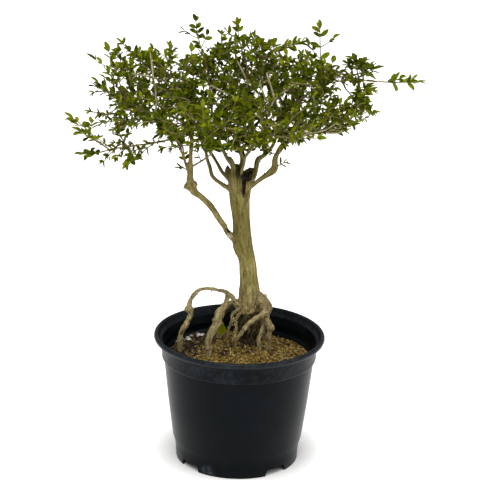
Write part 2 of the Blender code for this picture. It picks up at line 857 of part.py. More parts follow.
class Spray:
    # A closed mesh of one spray, grown twig by twig; no leaf may touch what is in its way

    def __init__(self, obstacles, seed):
        self.verts = []
        self.faces = []
        self.obstacles = obstacles
        self.seed = seed
        self.leaves = 0

    def clear(self, leaf):
        tree = blade_tree(leaf)
        if any(tree.overlap(other) for other in self.obstacles):
            return False
        return not tree.overlap(BVHTree.FromPolygons(self.verts, self.faces))

    def close(self, loop):
        self.faces.append(tuple(loop))

    def add_leaf(self, loop, leaf, plain=False):
        # A plain leaf has one ring where the others have two
        self.leaves += 1
        centre = sum((self.verts[k] for k in loop), Vector()) / 4
        for tries in range(LEAF_TRIES):
            fitted = turned_leaf((centre, *leaf[1:]), tries, self.seed * 100 + self.leaves)
            if self.clear(fitted):
                break
        else:
            self.close(loop)
            return
        rings, point = blade(fitted, plain=plain)
        loops = []
        for corners in rings:
            loops.append(list(range(len(self.verts), len(self.verts) + 3)))
            self.verts += corners
        tip = len(self.verts)
        self.verts.append(point)
        self.faces += zipped(self.verts, loop, loops[0])
        for k in range(3):
            after = (k + 1) % 3
            for low, high in zip(loops, loops[1:]):
                self.faces.append((low[k], low[after], high[after]))
                self.faces.append((low[k], high[after], high[k]))
            self.faces.append((loops[-1][k], loops[-1][after], tip))

    def add_band(self, low, high, skip=()):
        # Side walls between two rings; returns the skipped ones as loops to grow from
        open_loops = {}
        for k in range(4):
            after = (k + 1) % 4
            quad = [low[k], low[after], high[after], high[k]]
            if k in skip:
                open_loops[k] = quad
            else:
                self.faces.append((quad[0], quad[1], quad[2]))
                self.faces.append((quad[0], quad[2], quad[3]))
        return open_loops

    def ring_on(self, route, hint, t, half):
        side, up = frame_of(heading(route, t), hint)
        return ring(self.verts, bezier(route, t), side, up, half)


def half_at(t):
    return TWIG_HALF + (TWIG_TIP_HALF - TWIG_HALF) * t


def best_turn(verts, low, high):
    # The high loop rotated so that its corners lie nearest those of the low one
    turns = [high[k:] + high[:k] for k in range(4)]
    return min(turns, key=lambda turn: sum((verts[a] - verts[b]).length for a, b in zip(low, turn)))


def add_side_twig(spray, loop, twig):
    route, at, ends, terminal = twig[2], twig[3], twig[4], twig[6]
    hint = hint_for(route[2] - route[0])
    length = (route[2] - route[0]).length
    step = NODE_LENGTH / length / 2
    low = best_turn(spray.verts, loop, spray.ring_on(route, hint, at - step, TWIG_TIP_HALF))
    spray.add_band(loop, low)
    marks = sorted(low)
    high = spray.ring_on(route, hint, at + step, TWIG_TIP_HALF)
    walls = spray.add_band(marks, high, (1, 3))
    end = spray.ring_on(route, hint, 0.98, TWIG_TIP_HALF * 0.9)
    spray.add_band(high, end)
    for out, leaf in ends:
        spray.add_leaf(walls[3 if out > 0 else 1], leaf, True)
    spray.add_leaf(end, terminal)


def spray_shape(plan, obstacles, seed):
    main, hint, twigs, pairs, terminal = plan
    spray = Spray(obstacles, seed)
    length = (main[2] - main[0]).length
    step = NODE_LENGTH / length / 2
    last = spray.ring_on(main, hint, 0, TWIG_HALF)
    spray.close(tuple(reversed(last)))
    grown = []
    for t, kind in [(twig[0], twig) for twig in twigs] + pairs:
        low = spray.ring_on(main, hint, t - step, half_at(t))
        spray.add_band(last, low)
        last = spray.ring_on(main, hint, t + step, half_at(t))
        grown.append((kind, spray.add_band(low, last, (1, 3))))
    end = spray.ring_on(main, hint, 0.985, TWIG_TIP_HALF * 0.9)
    spray.add_band(last, end)
    for twig, walls in grown[:len(twigs)]:
        toward, away = (3, 1) if twig[1] > 0 else (1, 3)
        add_side_twig(spray, walls[toward], twig)
        spray.add_leaf(walls[away], twig[5], True)
    for pair, walls in grown[len(twigs):]:
        for out, leaf in pair:
            spray.add_leaf(walls[3 if out > 0 else 1], leaf)
    spray.add_leaf(end, terminal)
    return spray


def tree_of(made):
    return BVHTree.FromPolygons(
        [v.co.copy() for v in made.data.vertices], [tuple(p.vertices) for p in made.data.polygons]
    )


def build_sprays(paint, stems, wood):
    obstacles = [tree_of(wood)]
    for i in sorted(stems):
        small = i >= len(stems) - SMALL_SPRAYS
        plan = (small_spray_plan if small else spray_plan)(*stems[i][1:], CROWN_SEED + i)
        spray = spray_shape(plan, obstacles, i + 1)
        made = new_object(f"spray_{i + 1:02d}", spray.verts, spray.faces, paint)
        obstacles.append(tree_of(made))


def build_root_shoot(paint):
    # The single leaf on a short shoot low among the roots
    begin, tip = (Vector(p) for p in ROOT_SHOOT)
    spray = Spray([], 1)
    ahead = (tip - begin).normalized()
    away = -Vector(SHOOT_FROM).normalized()
    side, up = frame_of(away, UP)
    first = ring(spray.verts, begin + away * GAP, side, up, TWIG_HALF)
    spray.close(tuple(reversed(first)))
    second = ring(spray.verts, begin + away * 0.0018, side, up, TWIG_HALF)
    spray.add_band(first, second)
    face = Vector((0.3, -1, 0.1))
    face = (face - ahead * face.dot(ahead)).normalized()
    spray.add_leaf(second, (begin, ahead, face, (tip - begin).length, SHOOT_LEAF_WIDTH))
    new_object("root_shoot", spray.verts, spray.faces, paint)


for old in list(bpy.data.objects):
    bpy.data.objects.remove(old, do_unlink=True)

plastic = material("black plastic", (0.012, 0.014, 0.015), 0.45)
earth = material("potting soil", (0.105, 0.070, 0.022), 0.95)
bark = material("pale bark", (0.190, 0.165, 0.080), 0.85)
foliage = material("green leaf", (0.065, 0.092, 0.012), 0.50)

crown_stems = grow_stems()
build_pot(plastic)
build_soil(earth, root_feet())
wood_object = build_wood(bark, crown_stems)
build_sprays(foliage, crown_stems, wood_object)
build_root_shoot(foliage)
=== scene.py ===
import json
import random
from math import atan2, cos, degrees, exp, hypot, pi, radians, sin, sqrt

import bmesh
import bpy
import numpy as np
from mathutils import Matrix, Vector, noise
from mathutils.geometry import interpolate_bezier

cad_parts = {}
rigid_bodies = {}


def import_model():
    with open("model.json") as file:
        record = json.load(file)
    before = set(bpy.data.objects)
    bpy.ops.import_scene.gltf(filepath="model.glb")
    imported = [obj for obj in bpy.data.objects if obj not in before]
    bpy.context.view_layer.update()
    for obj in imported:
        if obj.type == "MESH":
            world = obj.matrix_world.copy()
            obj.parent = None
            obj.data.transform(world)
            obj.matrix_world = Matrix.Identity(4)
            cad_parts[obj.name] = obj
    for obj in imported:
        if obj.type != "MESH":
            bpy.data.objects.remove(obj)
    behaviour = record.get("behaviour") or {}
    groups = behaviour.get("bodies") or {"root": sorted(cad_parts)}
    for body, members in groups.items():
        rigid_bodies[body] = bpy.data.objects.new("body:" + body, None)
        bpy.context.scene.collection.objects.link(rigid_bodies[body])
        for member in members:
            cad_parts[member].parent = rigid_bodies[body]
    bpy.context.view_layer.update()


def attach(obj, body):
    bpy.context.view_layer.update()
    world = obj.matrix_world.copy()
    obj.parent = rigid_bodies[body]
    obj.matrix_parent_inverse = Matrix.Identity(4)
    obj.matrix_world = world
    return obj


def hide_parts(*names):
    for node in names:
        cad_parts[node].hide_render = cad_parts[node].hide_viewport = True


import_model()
skyward = Vector((0, 0, 1))
noise.seed_set(7)  # the noise vectors would differ in each run without it
print("frame loaded")


def mm(*sizes):
    # Tables are written in millimetres and kept in metres
    return tuple(mm(*s) if isinstance(s, tuple) else round(s / 1000, 6) for s in sizes)


def clip(value):
    return min(1.0, max(0.0, value))


def linked(made):
    bpy.context.scene.collection.objects.link(made)
    return made


class Wires:
    # A node tree, with one call for each node: inputs by name or number, settings by name
    def __init__(self, tree):
        self.tree, self.nodes, self.links = tree, tree.nodes, tree.links

    def plug(self, socket, value):
        if isinstance(value, bpy.types.NodeSocket):
            self.links.new(value, socket)
        else:
            plain = socket.type == "RGBA" and len(value) == 3
            socket.default_value = (*value, 1) if plain else value

    def add(self, kind, inputs=(), output=0, **settings):
        node = self.nodes.new(kind)
        for name, value in settings.items():
            setattr(node, name, value)
        for name, value in dict(inputs).items():
            self.plug(node.inputs[name], value)
        return node.outputs if output is None else node.outputs[output]

    def mix(self, factor, first, second, kind="MIX"):
        inputs = {0: factor, 6: first, 7: second}
        return self.add("ShaderNodeMix", inputs, 2, data_type="RGBA", blend_type=kind)

    def sums(self, kind, first, second=0.0):
        return self.add("ShaderNodeMath", {0: first, 1: second}, operation=kind)

    def times(self, first, second):
        return self.sums("MULTIPLY", first, second)

    def plus(self, first, second):
        return self.sums("ADD", first, second)

    def apart(self, vector):
        return self.add("ShaderNodeSeparateXYZ", {0: vector}, None)

    def eased(self, value, low, high, toLow=0.0, toHigh=1.0):
        inputs = {"Value": value, "From Min": low, "From Max": high, "To Min": toLow, "To Max": toHigh}
        return self.add("ShaderNodeMapRange", inputs, "Result", interpolation_type="SMOOTHSTEP")

    def ramp(self, factor, stops):
        node = self.nodes.new("ShaderNodeValToRGB")
        elements = node.color_ramp.elements
        while len(elements) < len(stops):
            elements.new(0.5)
        for element, (position, colour) in zip(elements, stops):
            element.position = position
            element.color = (*colour, 1)
        self.plug(node.inputs["Fac"], factor)
        return node.outputs["Color"]

    def noise(self, vector, scale, detail=2.0, rough=0.5):
        inputs = {"Vector": vector, "Scale": scale, "Detail": detail, "Roughness": rough}
        return self.add("ShaderNodeTexNoise", inputs, "Fac")

    def mottle(self, vector, scale, fineShare, low, high):
        inputs = {"Vector": vector, "Scale": scale, "Fine Share": fineShare, "Low": low, "High": high}
        return self.add("ShaderNodeGroup", inputs, "Mask", node_tree=mottleTree)

    def stored(self, name, output="Fac"):
        return self.add("ShaderNodeAttribute", output=output, attribute_name=name)

    def field(self, kind, name):
        return self.add("GeometryNodeInputNamedAttribute", {"Name": name}, "Attribute", data_type=kind)

    def instances(self, shapes, **inputs):
        # A shape of the folder on each point
        taken = {"Collection": shapes, "Separate Children": True, "Reset Children": True}
        inputs = {label.replace("_", " "): value for label, value in inputs.items()}
        inputs["Instance"] = self.add("GeometryNodeCollectionInfo", taken)
        inputs["Pick Instance"] = True
        return self.add("GeometryNodeInstanceOnPoints", inputs)

    def skinned(self, geometry, skin):
        return self.add("GeometryNodeSetMaterial", {"Geometry": geometry, "Material": skin})


def newTree(name, family, inputs, output, kind):
    # A node group with named inputs: name, kind and default of each
    tree = bpy.data.node_groups.new(name, family + "NodeTree")
    for label, given, *value in inputs:
        socket = tree.interface.new_socket(label, in_out="INPUT", socket_type="NodeSocket" + given)
        if value:
            socket.default_value = value[0]
    tree.interface.new_socket(output, in_out="OUTPUT", socket_type="NodeSocket" + kind)
    given, result = (tree.nodes.new("NodeGroup" + end) for end in ("Input", "Output"))
    return Wires(tree), given.outputs, result.inputs[output]


def newMaterial(name):
    made = bpy.data.materials.new(name)
    made.use_nodes = True
    s = Wires(made.node_tree)
    return made, s, s.add("ShaderNodeTexCoord", output="Object")


def finished(made, s, inputs, height=None, strength=0.0, distance=0.0):
    # The shader's inputs, and the relief as a bump
    if height:
        bump = {"Strength": strength, "Distance": distance, "Height": height}
        inputs["Normal"] = s.add("ShaderNodeBump", bump, "Normal")
    for name, value in inputs.items():
        s.plug(s.nodes["Principled BSDF"].inputs[name], value)
    return made


# Camera, light and floor

view = {
    "place": Vector((0, -1.6, 0.7479)),
    "pitch": 18.225,
    "yaw": -0.058,
    "roll": 1.382,
    "lens": 133.16,
    "sky": 0.62,
    "keyPlace": (-0.3, -1.0, 1.9),
    "keyStrength": 1.9,
    "fillPlace": (1.5, -0.6, 1.2),
    "fillStrength": 0.75,
    "sunAngle": 45,
    "floorColour": (0.90, 0.89, 0.88),
    "floorGlow": 0.54,
    # where the floor's glow fades out under the pot: a painted shadow
    "paintedShadowReach": (0.052, 0.105),
}


def makeCamera():
    pitch, yaw, roll = (radians(view[k]) for k in ("pitch", "yaw", "roll"))
    ahead = Vector((sin(yaw) * cos(pitch), cos(yaw) * cos(pitch), -sin(pitch)))
    right = Vector((cos(yaw), -sin(yaw), 0))
    high = right.cross(ahead)
    turnedRight = right * cos(roll) + high * sin(roll)
    turnedUp = high * cos(roll) - right * sin(roll)
    data = bpy.data.cameras.new("camera")
    data.lens = view["lens"]
    data.sensor_width = 36
    camera = linked(bpy.data.objects.new("camera", data))
    turn = Matrix((turnedRight, turnedUp, -ahead)).transposed().to_4x4()
    camera.matrix_world = Matrix.Translation(view["place"]) @ turn
    bpy.context.scene.camera = camera


def makeSun(name):
    data = bpy.data.lights.new(name, "SUN")
    data.energy = view[name + "Strength"]
    data.angle = radians(view["sunAngle"])
    lamp = linked(bpy.data.objects.new(name, data))
    lamp.location = view[name + "Place"]
    lamp.rotation_euler = (-Vector(view[name + "Place"])).to_track_quat("-Z", "Y").to_euler()


def makeWorld():
    # White to the camera, a soft sky to everything else
    world = bpy.data.worlds.new("studio")
    bpy.context.scene.world = world
    world.use_nodes = True
    s = Wires(world.node_tree)
    s.nodes.clear()
    up = s.apart(s.add("ShaderNodeTexCoord", output="Generated"))["Z"]
    shade = s.ramp(up, ((0.0, (0.35, 0.35, 0.36)), (0.7, (1, 1, 1))))
    sky = s.add("ShaderNodeBackground", {"Color": shade, "Strength": view["sky"]})
    seen = s.add("ShaderNodeBackground", {"Color": (1, 1, 1)})
    toCamera = s.add("ShaderNodeLightPath", output="Is Camera Ray")
    both = s.add("ShaderNodeMixShader", {0: toCamera, 1: sky, 2: seen})
    s.add("ShaderNodeOutputWorld", {"Surface": both}, None)


def makeFloor():
    bpy.ops.mesh.primitive_plane_add(size=9)
    floor = bpy.context.active_object
    floor.name = "floor"
    made, s, place = newMaterial("pale floor")
    away = s.add("ShaderNodeVectorMath", {0: place}, "Value", operation="LENGTH")
    glowWithPaintedShadow = s.eased(away, *view["paintedShadowReach"])  # it fades out under the pot, a painted shadow there
    colour, strength = view["floorColour"], view["floorGlow"]
    inputs = {"Base Color": colour, "Roughness": 0.8, "Emission Strength": strength, "Emission Color": glowWithPaintedShadow}
    floor.data.materials.append(finished(made, s, inputs))


makeCamera()
makeWorld()
makeFloor()
makeSun("key")
makeSun("fill")
bpy.context.scene.view_settings.view_transform = "Standard"
print("camera, light and floor made")


# Materials

def makeMottle():
    # Blotches at one scale with a finer layer over them, from 0 to 1
    floats = (("Scale", 200.0), ("Fine Share", 0.4), ("Low", 0.35), ("High", 0.65))
    inputs = (("Vector", "Vector"), *[(label, "Float", value) for label, value in floats])
    s, given, mask = newTree("mottle", "Shader", inputs, "Mask", "Float")
    broad = s.noise(given["Vector"], given["Scale"], 3.0)
    fine = s.noise(given["Vector"], s.times(given["Scale"], 4.7))
    both = s.add("ShaderNodeMix", {0: given["Fine Share"], 2: broad, 3: fine})
    s.plug(mask, s.eased(both, given["Low"], given["High"]))
    return s.tree


mottleTree = makeMottle()


def makePotPlastic():
    made, s, place = newMaterial("black pot plastic")
    x, y, z = s.apart(place)
    across = s.plus(s.times(x, x), s.times(y, y))
    facing = s.apart(s.add("ShaderNodeNewGeometry", output="Normal"))["Z"]
    patchy = s.eased(s.noise(place, 70.0, 5.0, 0.6), 0.38, 0.72)
    dust = s.times(s.times(s.eased(facing, -0.2, 1.0, 0.3, 1.0), patchy), 0.05)
    collar = s.times(s.eased(z, 0.099, 0.106, 0.025, 0.17), s.eased(across, 0.00545, 0.00552))
    smeared = s.times(s.mottle(place, 64.0, 0.5, 0.36, 0.72), collar)
    # A painted highlight: paler colour on the outside of the rolled lip, where the coat follows the same mask
    paintedLipHighlight = s.times(s.eased(across, 0.00606, 0.00620), s.eased(z, 0.1205, 0.1230, 0.0, 0.038))
    dustAndPaintedHighlight = s.plus(s.plus(dust, smeared), paintedLipHighlight)
    spot = {0: place, 1: (-0.027, -0.0525, 0.0035)}  # the pale scuff low on the front
    away = s.add("ShaderNodeVectorMath", spot, "Value", operation="DISTANCE")
    near = s.eased(away, 0.003, 0.0095, 1.0, 0.0)
    scuff = s.times(near, s.times(s.mottle(place, 260.0, 0.4, 0.4, 0.6), 0.55))
    # Dust, smears and the scuff, with the painted highlight of the lip
    wornAndPaintedHighlight = s.plus(dustAndPaintedHighlight, scuff)
    inputs = {
        "Base Color": s.mix(wornAndPaintedHighlight, (0.0013, 0.0026, 0.0036), (0.078, 0.096, 0.114)),
        "Roughness": s.eased(wornAndPaintedHighlight, 0.0, 0.25, 0.30, 0.55),
        "Specular IOR Level": 0.068,
        "Specular Tint": (0.95, 0.98, 1.0),
        "Coat Weight": s.times(paintedLipHighlight, 3.2),
        "Coat Roughness": 0.24,
        "Coat IOR": 1.4,
    }
    return finished(made, s, inputs, s.noise(place, 850.0), 0.10, 0.0003)


def makeBark():
    made, s, place = newMaterial("serissa bark")
    stretch = {"Scale": (1, 1, 0.15), "Vector": s.stored("grainPlace", "Vector")}
    along = s.add("ShaderNodeMapping", stretch)
    x, _, z = s.apart(place)
    streaks = s.mottle(along, 430.0, 0.45, 0.34, 0.68)
    blotch = s.mottle(place, 85.0, 0.35, 0.36, 0.64)
    trunkBark = s.mix(streaks, (0.105, 0.078, 0.016), (0.460, 0.383, 0.140))
    green = s.mix(s.times(blotch, 0.62), trunkBark, (0.175, 0.160, 0.026))
    # Painted shade: darker olive on a band of the trunk below the limbs and on the middle and right limbs
    # inside the crown
    paintedShadeBand = s.times(s.eased(z, 0.195, 0.225), s.eased(z, 0.243, 0.264, 0.42, 0.08))
    limbs = s.times(s.eased(z, 0.272, 0.286), s.eased(x, -0.042, -0.033, 0.08, 0.46))
    mossAndPaintedShade = s.mix(s.plus(paintedShadeBand, limbs), green, (0.080, 0.066, 0.006))
    rootBark = s.mix(streaks, (0.125, 0.090, 0.028), (0.540, 0.440, 0.215))
    bark = s.mix(s.stored("rootShare"), mossAndPaintedShade, rootBark)
    cracks = s.eased(s.noise(along, 760.0, 4.0, 0.65), 0.32, 0.45, 1.0, 0.0)
    cracked = s.mix(s.times(cracks, 0.8), bark, (0.050, 0.032, 0.012))
    crumbled = s.mottle(place, 520.0, 0.4, 0.38, 0.58)
    crumbs = s.mix(crumbled, (0.075, 0.050, 0.014), (0.430, 0.330, 0.135))
    caked = s.mix(s.times(s.stored("crust"), 0.7), cracked, crumbs)
    # Painted shade in the crevices, and a darker ragged upper end of the trunk
    withCreviceShade = s.mix(s.stored("crevice"), caked, (0.040, 0.024, 0.008))
    scarred = s.mix(s.times(s.stored("scar"), crumbled), withCreviceShade, (0.620, 0.520, 0.380))
    # Painted shade, near black, where the hollow field is set: hollows, knot hole, fold, the space among the
    # roots and the rootlets there
    paintedHollowShade = s.mix(s.mottle(place, 380.0, 0.5, 0.49, 0.62), (0.002, 0.0015, 0.001), (0.070, 0.045, 0.016))
    colour = s.mix(s.stored("hollow"), scarred, paintedHollowShade)
    relief = s.sums("SUBTRACT", streaks, s.times(cracks, 0.9))
    inputs = {"Base Color": colour, "Roughness": 0.85, "Specular IOR Level": 0.22}
    return finished(made, s, inputs, relief, 0.7, 0.0005)


def makeTwigSkin():
    made, s, place = newMaterial("young twig")
    tone = s.mottle(place, 140.0, 0.4, 0.35, 0.66)
    brown = s.mix(tone, (0.090, 0.074, 0.022), (0.300, 0.240, 0.105))
    pale = s.mix(tone, (0.200, 0.165, 0.080), (0.560, 0.490, 0.310))
    colour = s.mix(s.stored("rootShare"), brown, pale)
    inputs = {"Base Color": colour, "Roughness": 0.78, "Specular IOR Level": 0.25}
    return finished(made, s, inputs, tone, 0.5, 0.0002)


leafColours = (
    (0.0, (0.005, 0.010, 0.0001)), (0.30, (0.054, 0.074, 0.0003)), (0.60, (0.150, 0.165, 0.0010)),
    (0.86, (0.280, 0.270, 0.006)), (0.965, (0.275, 0.265, 0.014)), (1.0, (0.480, 0.370, 0.020)),
)


def makeLeafSkin():
    made, s, place = newMaterial("serissa leaf")
    x, y, _ = s.apart(s.add("ShaderNodeUVMap", output="UV", uv_map="bladeMap"))
    fromRib = s.sums("ABSOLUTE", s.sums("SUBTRACT", x, 0.5))
    rib = s.eased(fromRib, 0.015, 0.075, 1.0, 0.0)
    slant = s.sums("SUBTRACT", y, s.times(fromRib, 0.55))
    veins = s.eased(s.sums("SINE", s.times(slant, 52.0)), 0.78, 1.0)
    tone = s.mottle(place, 330.0, 0.5, 0.3, 0.7)
    hue = s.mottle(place, 95.0, 0.55, 0.36, 0.64)
    green = s.ramp(s.stored("tint"), leafColours)
    shaded = s.mix(s.times(tone, 0.4), green, (0.50, 0.56, 0.40), "MULTIPLY")
    cooled = s.mix(hue, shaded, (0.72, 0.98, 0.80), "MULTIPLY")
    ribbed = s.mix(s.times(rib, 0.4), cooled, (0.230, 0.240, 0.012))
    veined = s.mix(s.times(veins, 0.14), ribbed, (0.190, 0.205, 0.010))
    inputs = {
        "Base Color": s.mix(s.times(s.stored("under"), 0.35), veined, (0.190, 0.205, 0.010)),
        "Roughness": s.eased(tone, 0.0, 1.0, 0.42, 0.60),
        "Specular IOR Level": 0.03,
    }
    return finished(made, s, inputs, s.plus(rib, s.times(veins, 0.4)), 0.5, 0.0002)


def makeSoilSkin():
    made, s, place = newMaterial("potting soil")
    tone = s.mottle(place, 330.0, 0.5, 0.32, 0.68)
    tan = s.mix(tone, (0.036, 0.021, 0.004), (0.215, 0.145, 0.034))
    dark = s.mix(tone, (0.008, 0.006, 0.004), (0.055, 0.036, 0.018))
    # The dark mix is dark soil, and painted shade in the dips
    colour = s.mix(s.stored("darkMix"), tan, dark)
    inputs = {"Base Color": colour, "Roughness": 0.95, "Specular IOR Level": 0.15}
    return finished(made, s, inputs, tone, 1.0, 0.001)


def makeCrumbSkin(name, *stops):
    made, s, place = newMaterial(name)
    tone = s.mottle(place, 900.0, 0.5, 0.3, 0.7)
    colour = s.mix(tone, s.ramp(s.stored("crumbTone"), stops), (0.60, 0.57, 0.52), "MULTIPLY")
    inputs = {"Base Color": colour, "Roughness": 0.92, "Specular IOR Level": 0.2}
    return finished(made, s, inputs, tone, 0.6, 0.0002)


potPlastic = makePotPlastic()
barkSkin = makeBark()
twigSkin = makeTwigSkin()
leafSkin = makeLeafSkin()
soilSkin = makeSoilSkin()
tanCrumbSkin = makeCrumbSkin(
    "tan soil crumb",
    (0.0, (0.028, 0.016, 0.004)), (0.30, (0.190, 0.120, 0.024)),
    (0.75, (0.440, 0.298, 0.072)), (1.0, (0.590, 0.445, 0.180)),
)
darkChipSkin = makeCrumbSkin(
    "dark bark chip",
    (0.0, (0.006, 0.005, 0.004)), (0.55, (0.050, 0.032, 0.016)),
    (0.9, (0.150, 0.092, 0.042)), (1.0, (0.300, 0.210, 0.120)),
)
strawSkin = makeCrumbSkin("pale straw", (0.0, (0.420, 0.340, 0.200)), (1.0, (0.560, 0.470, 0.300)))
perliteSkin = makeCrumbSkin("perlite", (0.0, (0.460, 0.430, 0.390)), (1.0, (0.900, 0.880, 0.850)))
print("materials made")


# Mesh helpers

def newObject(name, verts, faces, paint=None, edges=()):
    mesh = bpy.data.meshes.new(name)
    mesh.from_pydata([tuple(v) for v in verts], list(edges), faces)
    mesh.update()
    if paint:
        mesh.materials.append(paint)
    return linked(bpy.data.objects.new(name, mesh))


def applied(made):
    # Modifiers become the object's own plain mesh
    graph = bpy.context.evaluated_depsgraph_get()
    evaluated = made.evaluated_get(graph)
    mesh = bpy.data.meshes.new_from_object(evaluated, preserve_all_data_layers=True, depsgraph=graph)
    made.modifiers.clear()
    made.data = mesh
    mesh.name = made.name
    return made


def removed(*objects):
    for one in objects:
        bpy.data.objects.remove(one, do_unlink=True)


def joined(first, *others):
    bpy.ops.object.select_all(action="DESELECT")
    for one in (first, *others):
        one.select_set(True)
    bpy.context.view_layer.objects.active = first
    bpy.ops.object.join()
    return first


def carved(made, cutter, solver):
    cut = made.modifiers.new("cuts", "BOOLEAN")
    cut.object = cutter
    cut.solver = solver
    applied(made)
    removed(cutter)


def setField(mesh, name, kind, values):
    field = mesh.attributes.new(name, kind, "POINT")
    field.data.foreach_set("vector" if kind == "FLOAT_VECTOR" else "value", np.asarray(values).ravel())


def roughBall(name, level, moved):
    # A small ball whose points are moved by a rule
    bm = bmesh.new()
    bmesh.ops.create_icosphere(bm, subdivisions=level, radius=1)
    for vert in bm.verts:
        vert.co = moved(vert.co)
    mesh = bpy.data.meshes.new(name)
    bm.to_mesh(mesh)
    bm.free()
    return bpy.data.objects.new(name, mesh)


def ringOf(radius, segments):
    # x and y around a ring, or of the one point at its middle
    turns = [2 * pi * k / segments for k in range(segments if radius else 1)]
    return [(radius * cos(t), radius * sin(t)) for t in turns]


def prismShell(verts, faces, rings):
    # A closed shell from equal rings, the lowest first
    first, sides = len(verts), len(rings[0])
    for ring in rings:
        verts += ring
    faces.append(tuple(first + k for k in reversed(range(sides))))
    for low in range(first, len(verts) - sides, sides):
        high = low + sides
        faces += [(low + k, low + (k + 1) % sides, high + (k + 1) % sides, high + k) for k in range(sides)]
    faces.append(tuple(len(verts) - sides + k for k in range(sides)))


def withTree(made, tree, **values):
    # Inputs are set by their identifiers before the object is first evaluated
    modifier = made.modifiers.new(tree.name, "NODES")
    modifier.node_group = tree
    for socket in tree.interface.items_tree:
        label = socket.name.replace(" ", "_")
        if socket.in_out == "INPUT" and label in values:
            modifier[socket.identifier] = values[label]
    return applied(made)


def ride(made, slot, *nodes):
    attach(made, "root")
    if nodes:
        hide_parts(*nodes)


# The pot

potSizes = {
    "segments": 144,
    "profile": mm(
        (0, 0), (33.5, 0), (34.3, 0.6), (36.2, 6), (56.8, 6), (57.3, 5.5), (57.6, 0.4), (58, 0), (59.2, 0),
        (59.6, 0.5), (60.2, 11), (60.7, 14.5), (61.3, 17.5), (62.1, 20.5), (63.2, 24), (67.8, 59.2),
        (72.4, 101), (72.6, 102.9), (73.9, 103.3), (74.5, 103.9), (74.8, 105.3), (75.1, 119.6), (75.6, 120.6),
        (77, 121.1), (79.8, 121.2), (81.2, 121.7), (82.1, 122.7), (82.5, 124), (82.3, 125.4), (81.7, 126.4),
        (80.8, 126.9), (79.9, 127), (79, 126.6), (78.4, 125.6), (77.8, 123.8), (76.8, 122.2), (74.6, 121),
        (73.8, 120), (73.6, 113.2), (73, 112.4), (72.9, 111.5), (73.5, 110.6), (73.3, 106.2), (72.9, 104.6),
        (71.2, 103.2), (70.6, 102), (61.3, 19), (59, 16), (58.1, 9), (57.2, 8), (35.8, 8), (34.3, 3),
        (33.4, 2), (0, 2),
    ),
    "notchAngles": (-49, 40, 131, 221),
    "notchHeight": 0.0064,
    "notchWidth": 0.022,
    "drainRadius": 0.0045,
    "drainRing": 0.046,
    "drains": 6,
    "drainTurn": 0.43,
}


def turnedBody(name, profile, segments, paint):
    # The profile runs from the axis outwards and back to it
    verts, faces, loops = [], [], []
    for radius, z in profile:
        loops.append(len(verts))
        verts += [(x, y, z) for x, y in ringOf(radius, segments)]
    for low, high in zip(loops, loops[1:]):
        for k in range(segments):
            after = (k + 1) % segments
            if low == 0:
                faces.append((low, high + after, high + k))
            elif high == len(verts) - 1:
                faces.append((low + k, low + after, high))
            else:
                faces.append((low + k, low + after, high + after, high + k))
    return newObject(name, verts, faces, paint)


def makePot():
    made = turnedBody("nurseryPot", potSizes["profile"], potSizes["segments"], potPlastic)
    verts, faces = [], []
    tall = potSizes["notchHeight"]
    for turn in potSizes["notchAngles"]:
        outward = Vector((cos(radians(turn - 90)), sin(radians(turn - 90)), 0))
        along = Vector((-outward.y, outward.x, 0))
        rings = []
        for z, wide in ((-0.001, 1.12), (tall - 0.001, 1.0), (tall, 0.9)):
            half = potSizes["notchWidth"] / 2 * wide
            corners = ((0.0525, -1), (0.066, -1), (0.066, 1), (0.0525, 1))
            rings.append([outward * out + along * side * half + skyward * z for out, side in corners])
        prismShell(verts, faces, rings)
    for k in range(potSizes["drains"]):
        angle = 2 * pi * (k + potSizes["drainTurn"]) / potSizes["drains"]
        centre = Vector((cos(angle), sin(angle), 0)) * potSizes["drainRing"]
        turns = [2 * pi * (j + 0.5) / 20 for j in range(20)]
        circle = [centre + Vector((cos(t), sin(t), 0)) * potSizes["drainRadius"] for t in turns]
        prismShell(verts, faces, [[p + skyward * z for p in circle] for z in (0.004, 0.010)])
    carved(made, newObject("cuts", verts, faces), "EXACT")
    made.data.shade_smooth()
    made.data.set_sharp_from_angle(angle=radians(38))
    ride(made, "black_plastic", "pot")


makePot()
print("pot made")


# The soil, with its loose grains

soilSizes = {
    "segments": 110,
    "rings": 62,
    "reach": 0.0704,
    "level": 0.104,
    "moundHeight": 0.011,
    "moundPlace": (0.003, -0.005),
    "moundWidth": 0.026,
    "lumpHeight": 0.0011,
    "below": mm((69.6, 96), (61.1, 19.5), (58.5, 16), (57.6, 8.4), (35.5, 8.4), (33.3, 2.4)),
    "crumbDensity": 310000,
    "chipDensity": 90000,
    "perliteDensity": 42000,
    "crumbSize": (0.00055, 0.00125),
    "chipSize": (0.0008, 0.0022),
    "perliteSize": (0.0010, 0.0026),
    # painted shade: dips by the trunk's foot that darken the soil, each x, y and reach
    "paintedShadeDips": mm((-13, -18, 5.5), (13, -11, 5), (4, -4, 8), (-10, -4, 5)),
    "straws": mm(
        ((38.5, 52), (39.2, 51.8), 4.2), ((39.5, -20), (48, -12), 1.6), ((18, -45), (24, -42), 1.4),
        ((-30, -34), (-34.5, -31), 1.4),
    ),
}


def soilHeight(x, y):
    # The same formula as the solid's top
    across = (x - soilSizes["moundPlace"][0]) ** 2 + (y - soilSizes["moundPlace"][1]) ** 2
    mound = soilSizes["moundHeight"] * exp(-across / (2 * soilSizes["moundWidth"] ** 2))
    ripple = sin(x * 190 + 1) * sin(y * 160 + 2)
    lumps = sin(x * 420 + y * 250) * sin(y * 390 - x * 180)
    return soilSizes["level"] - 0.03 * (x + y) + mound + 0.0012 * ripple + 0.0006 * lumps


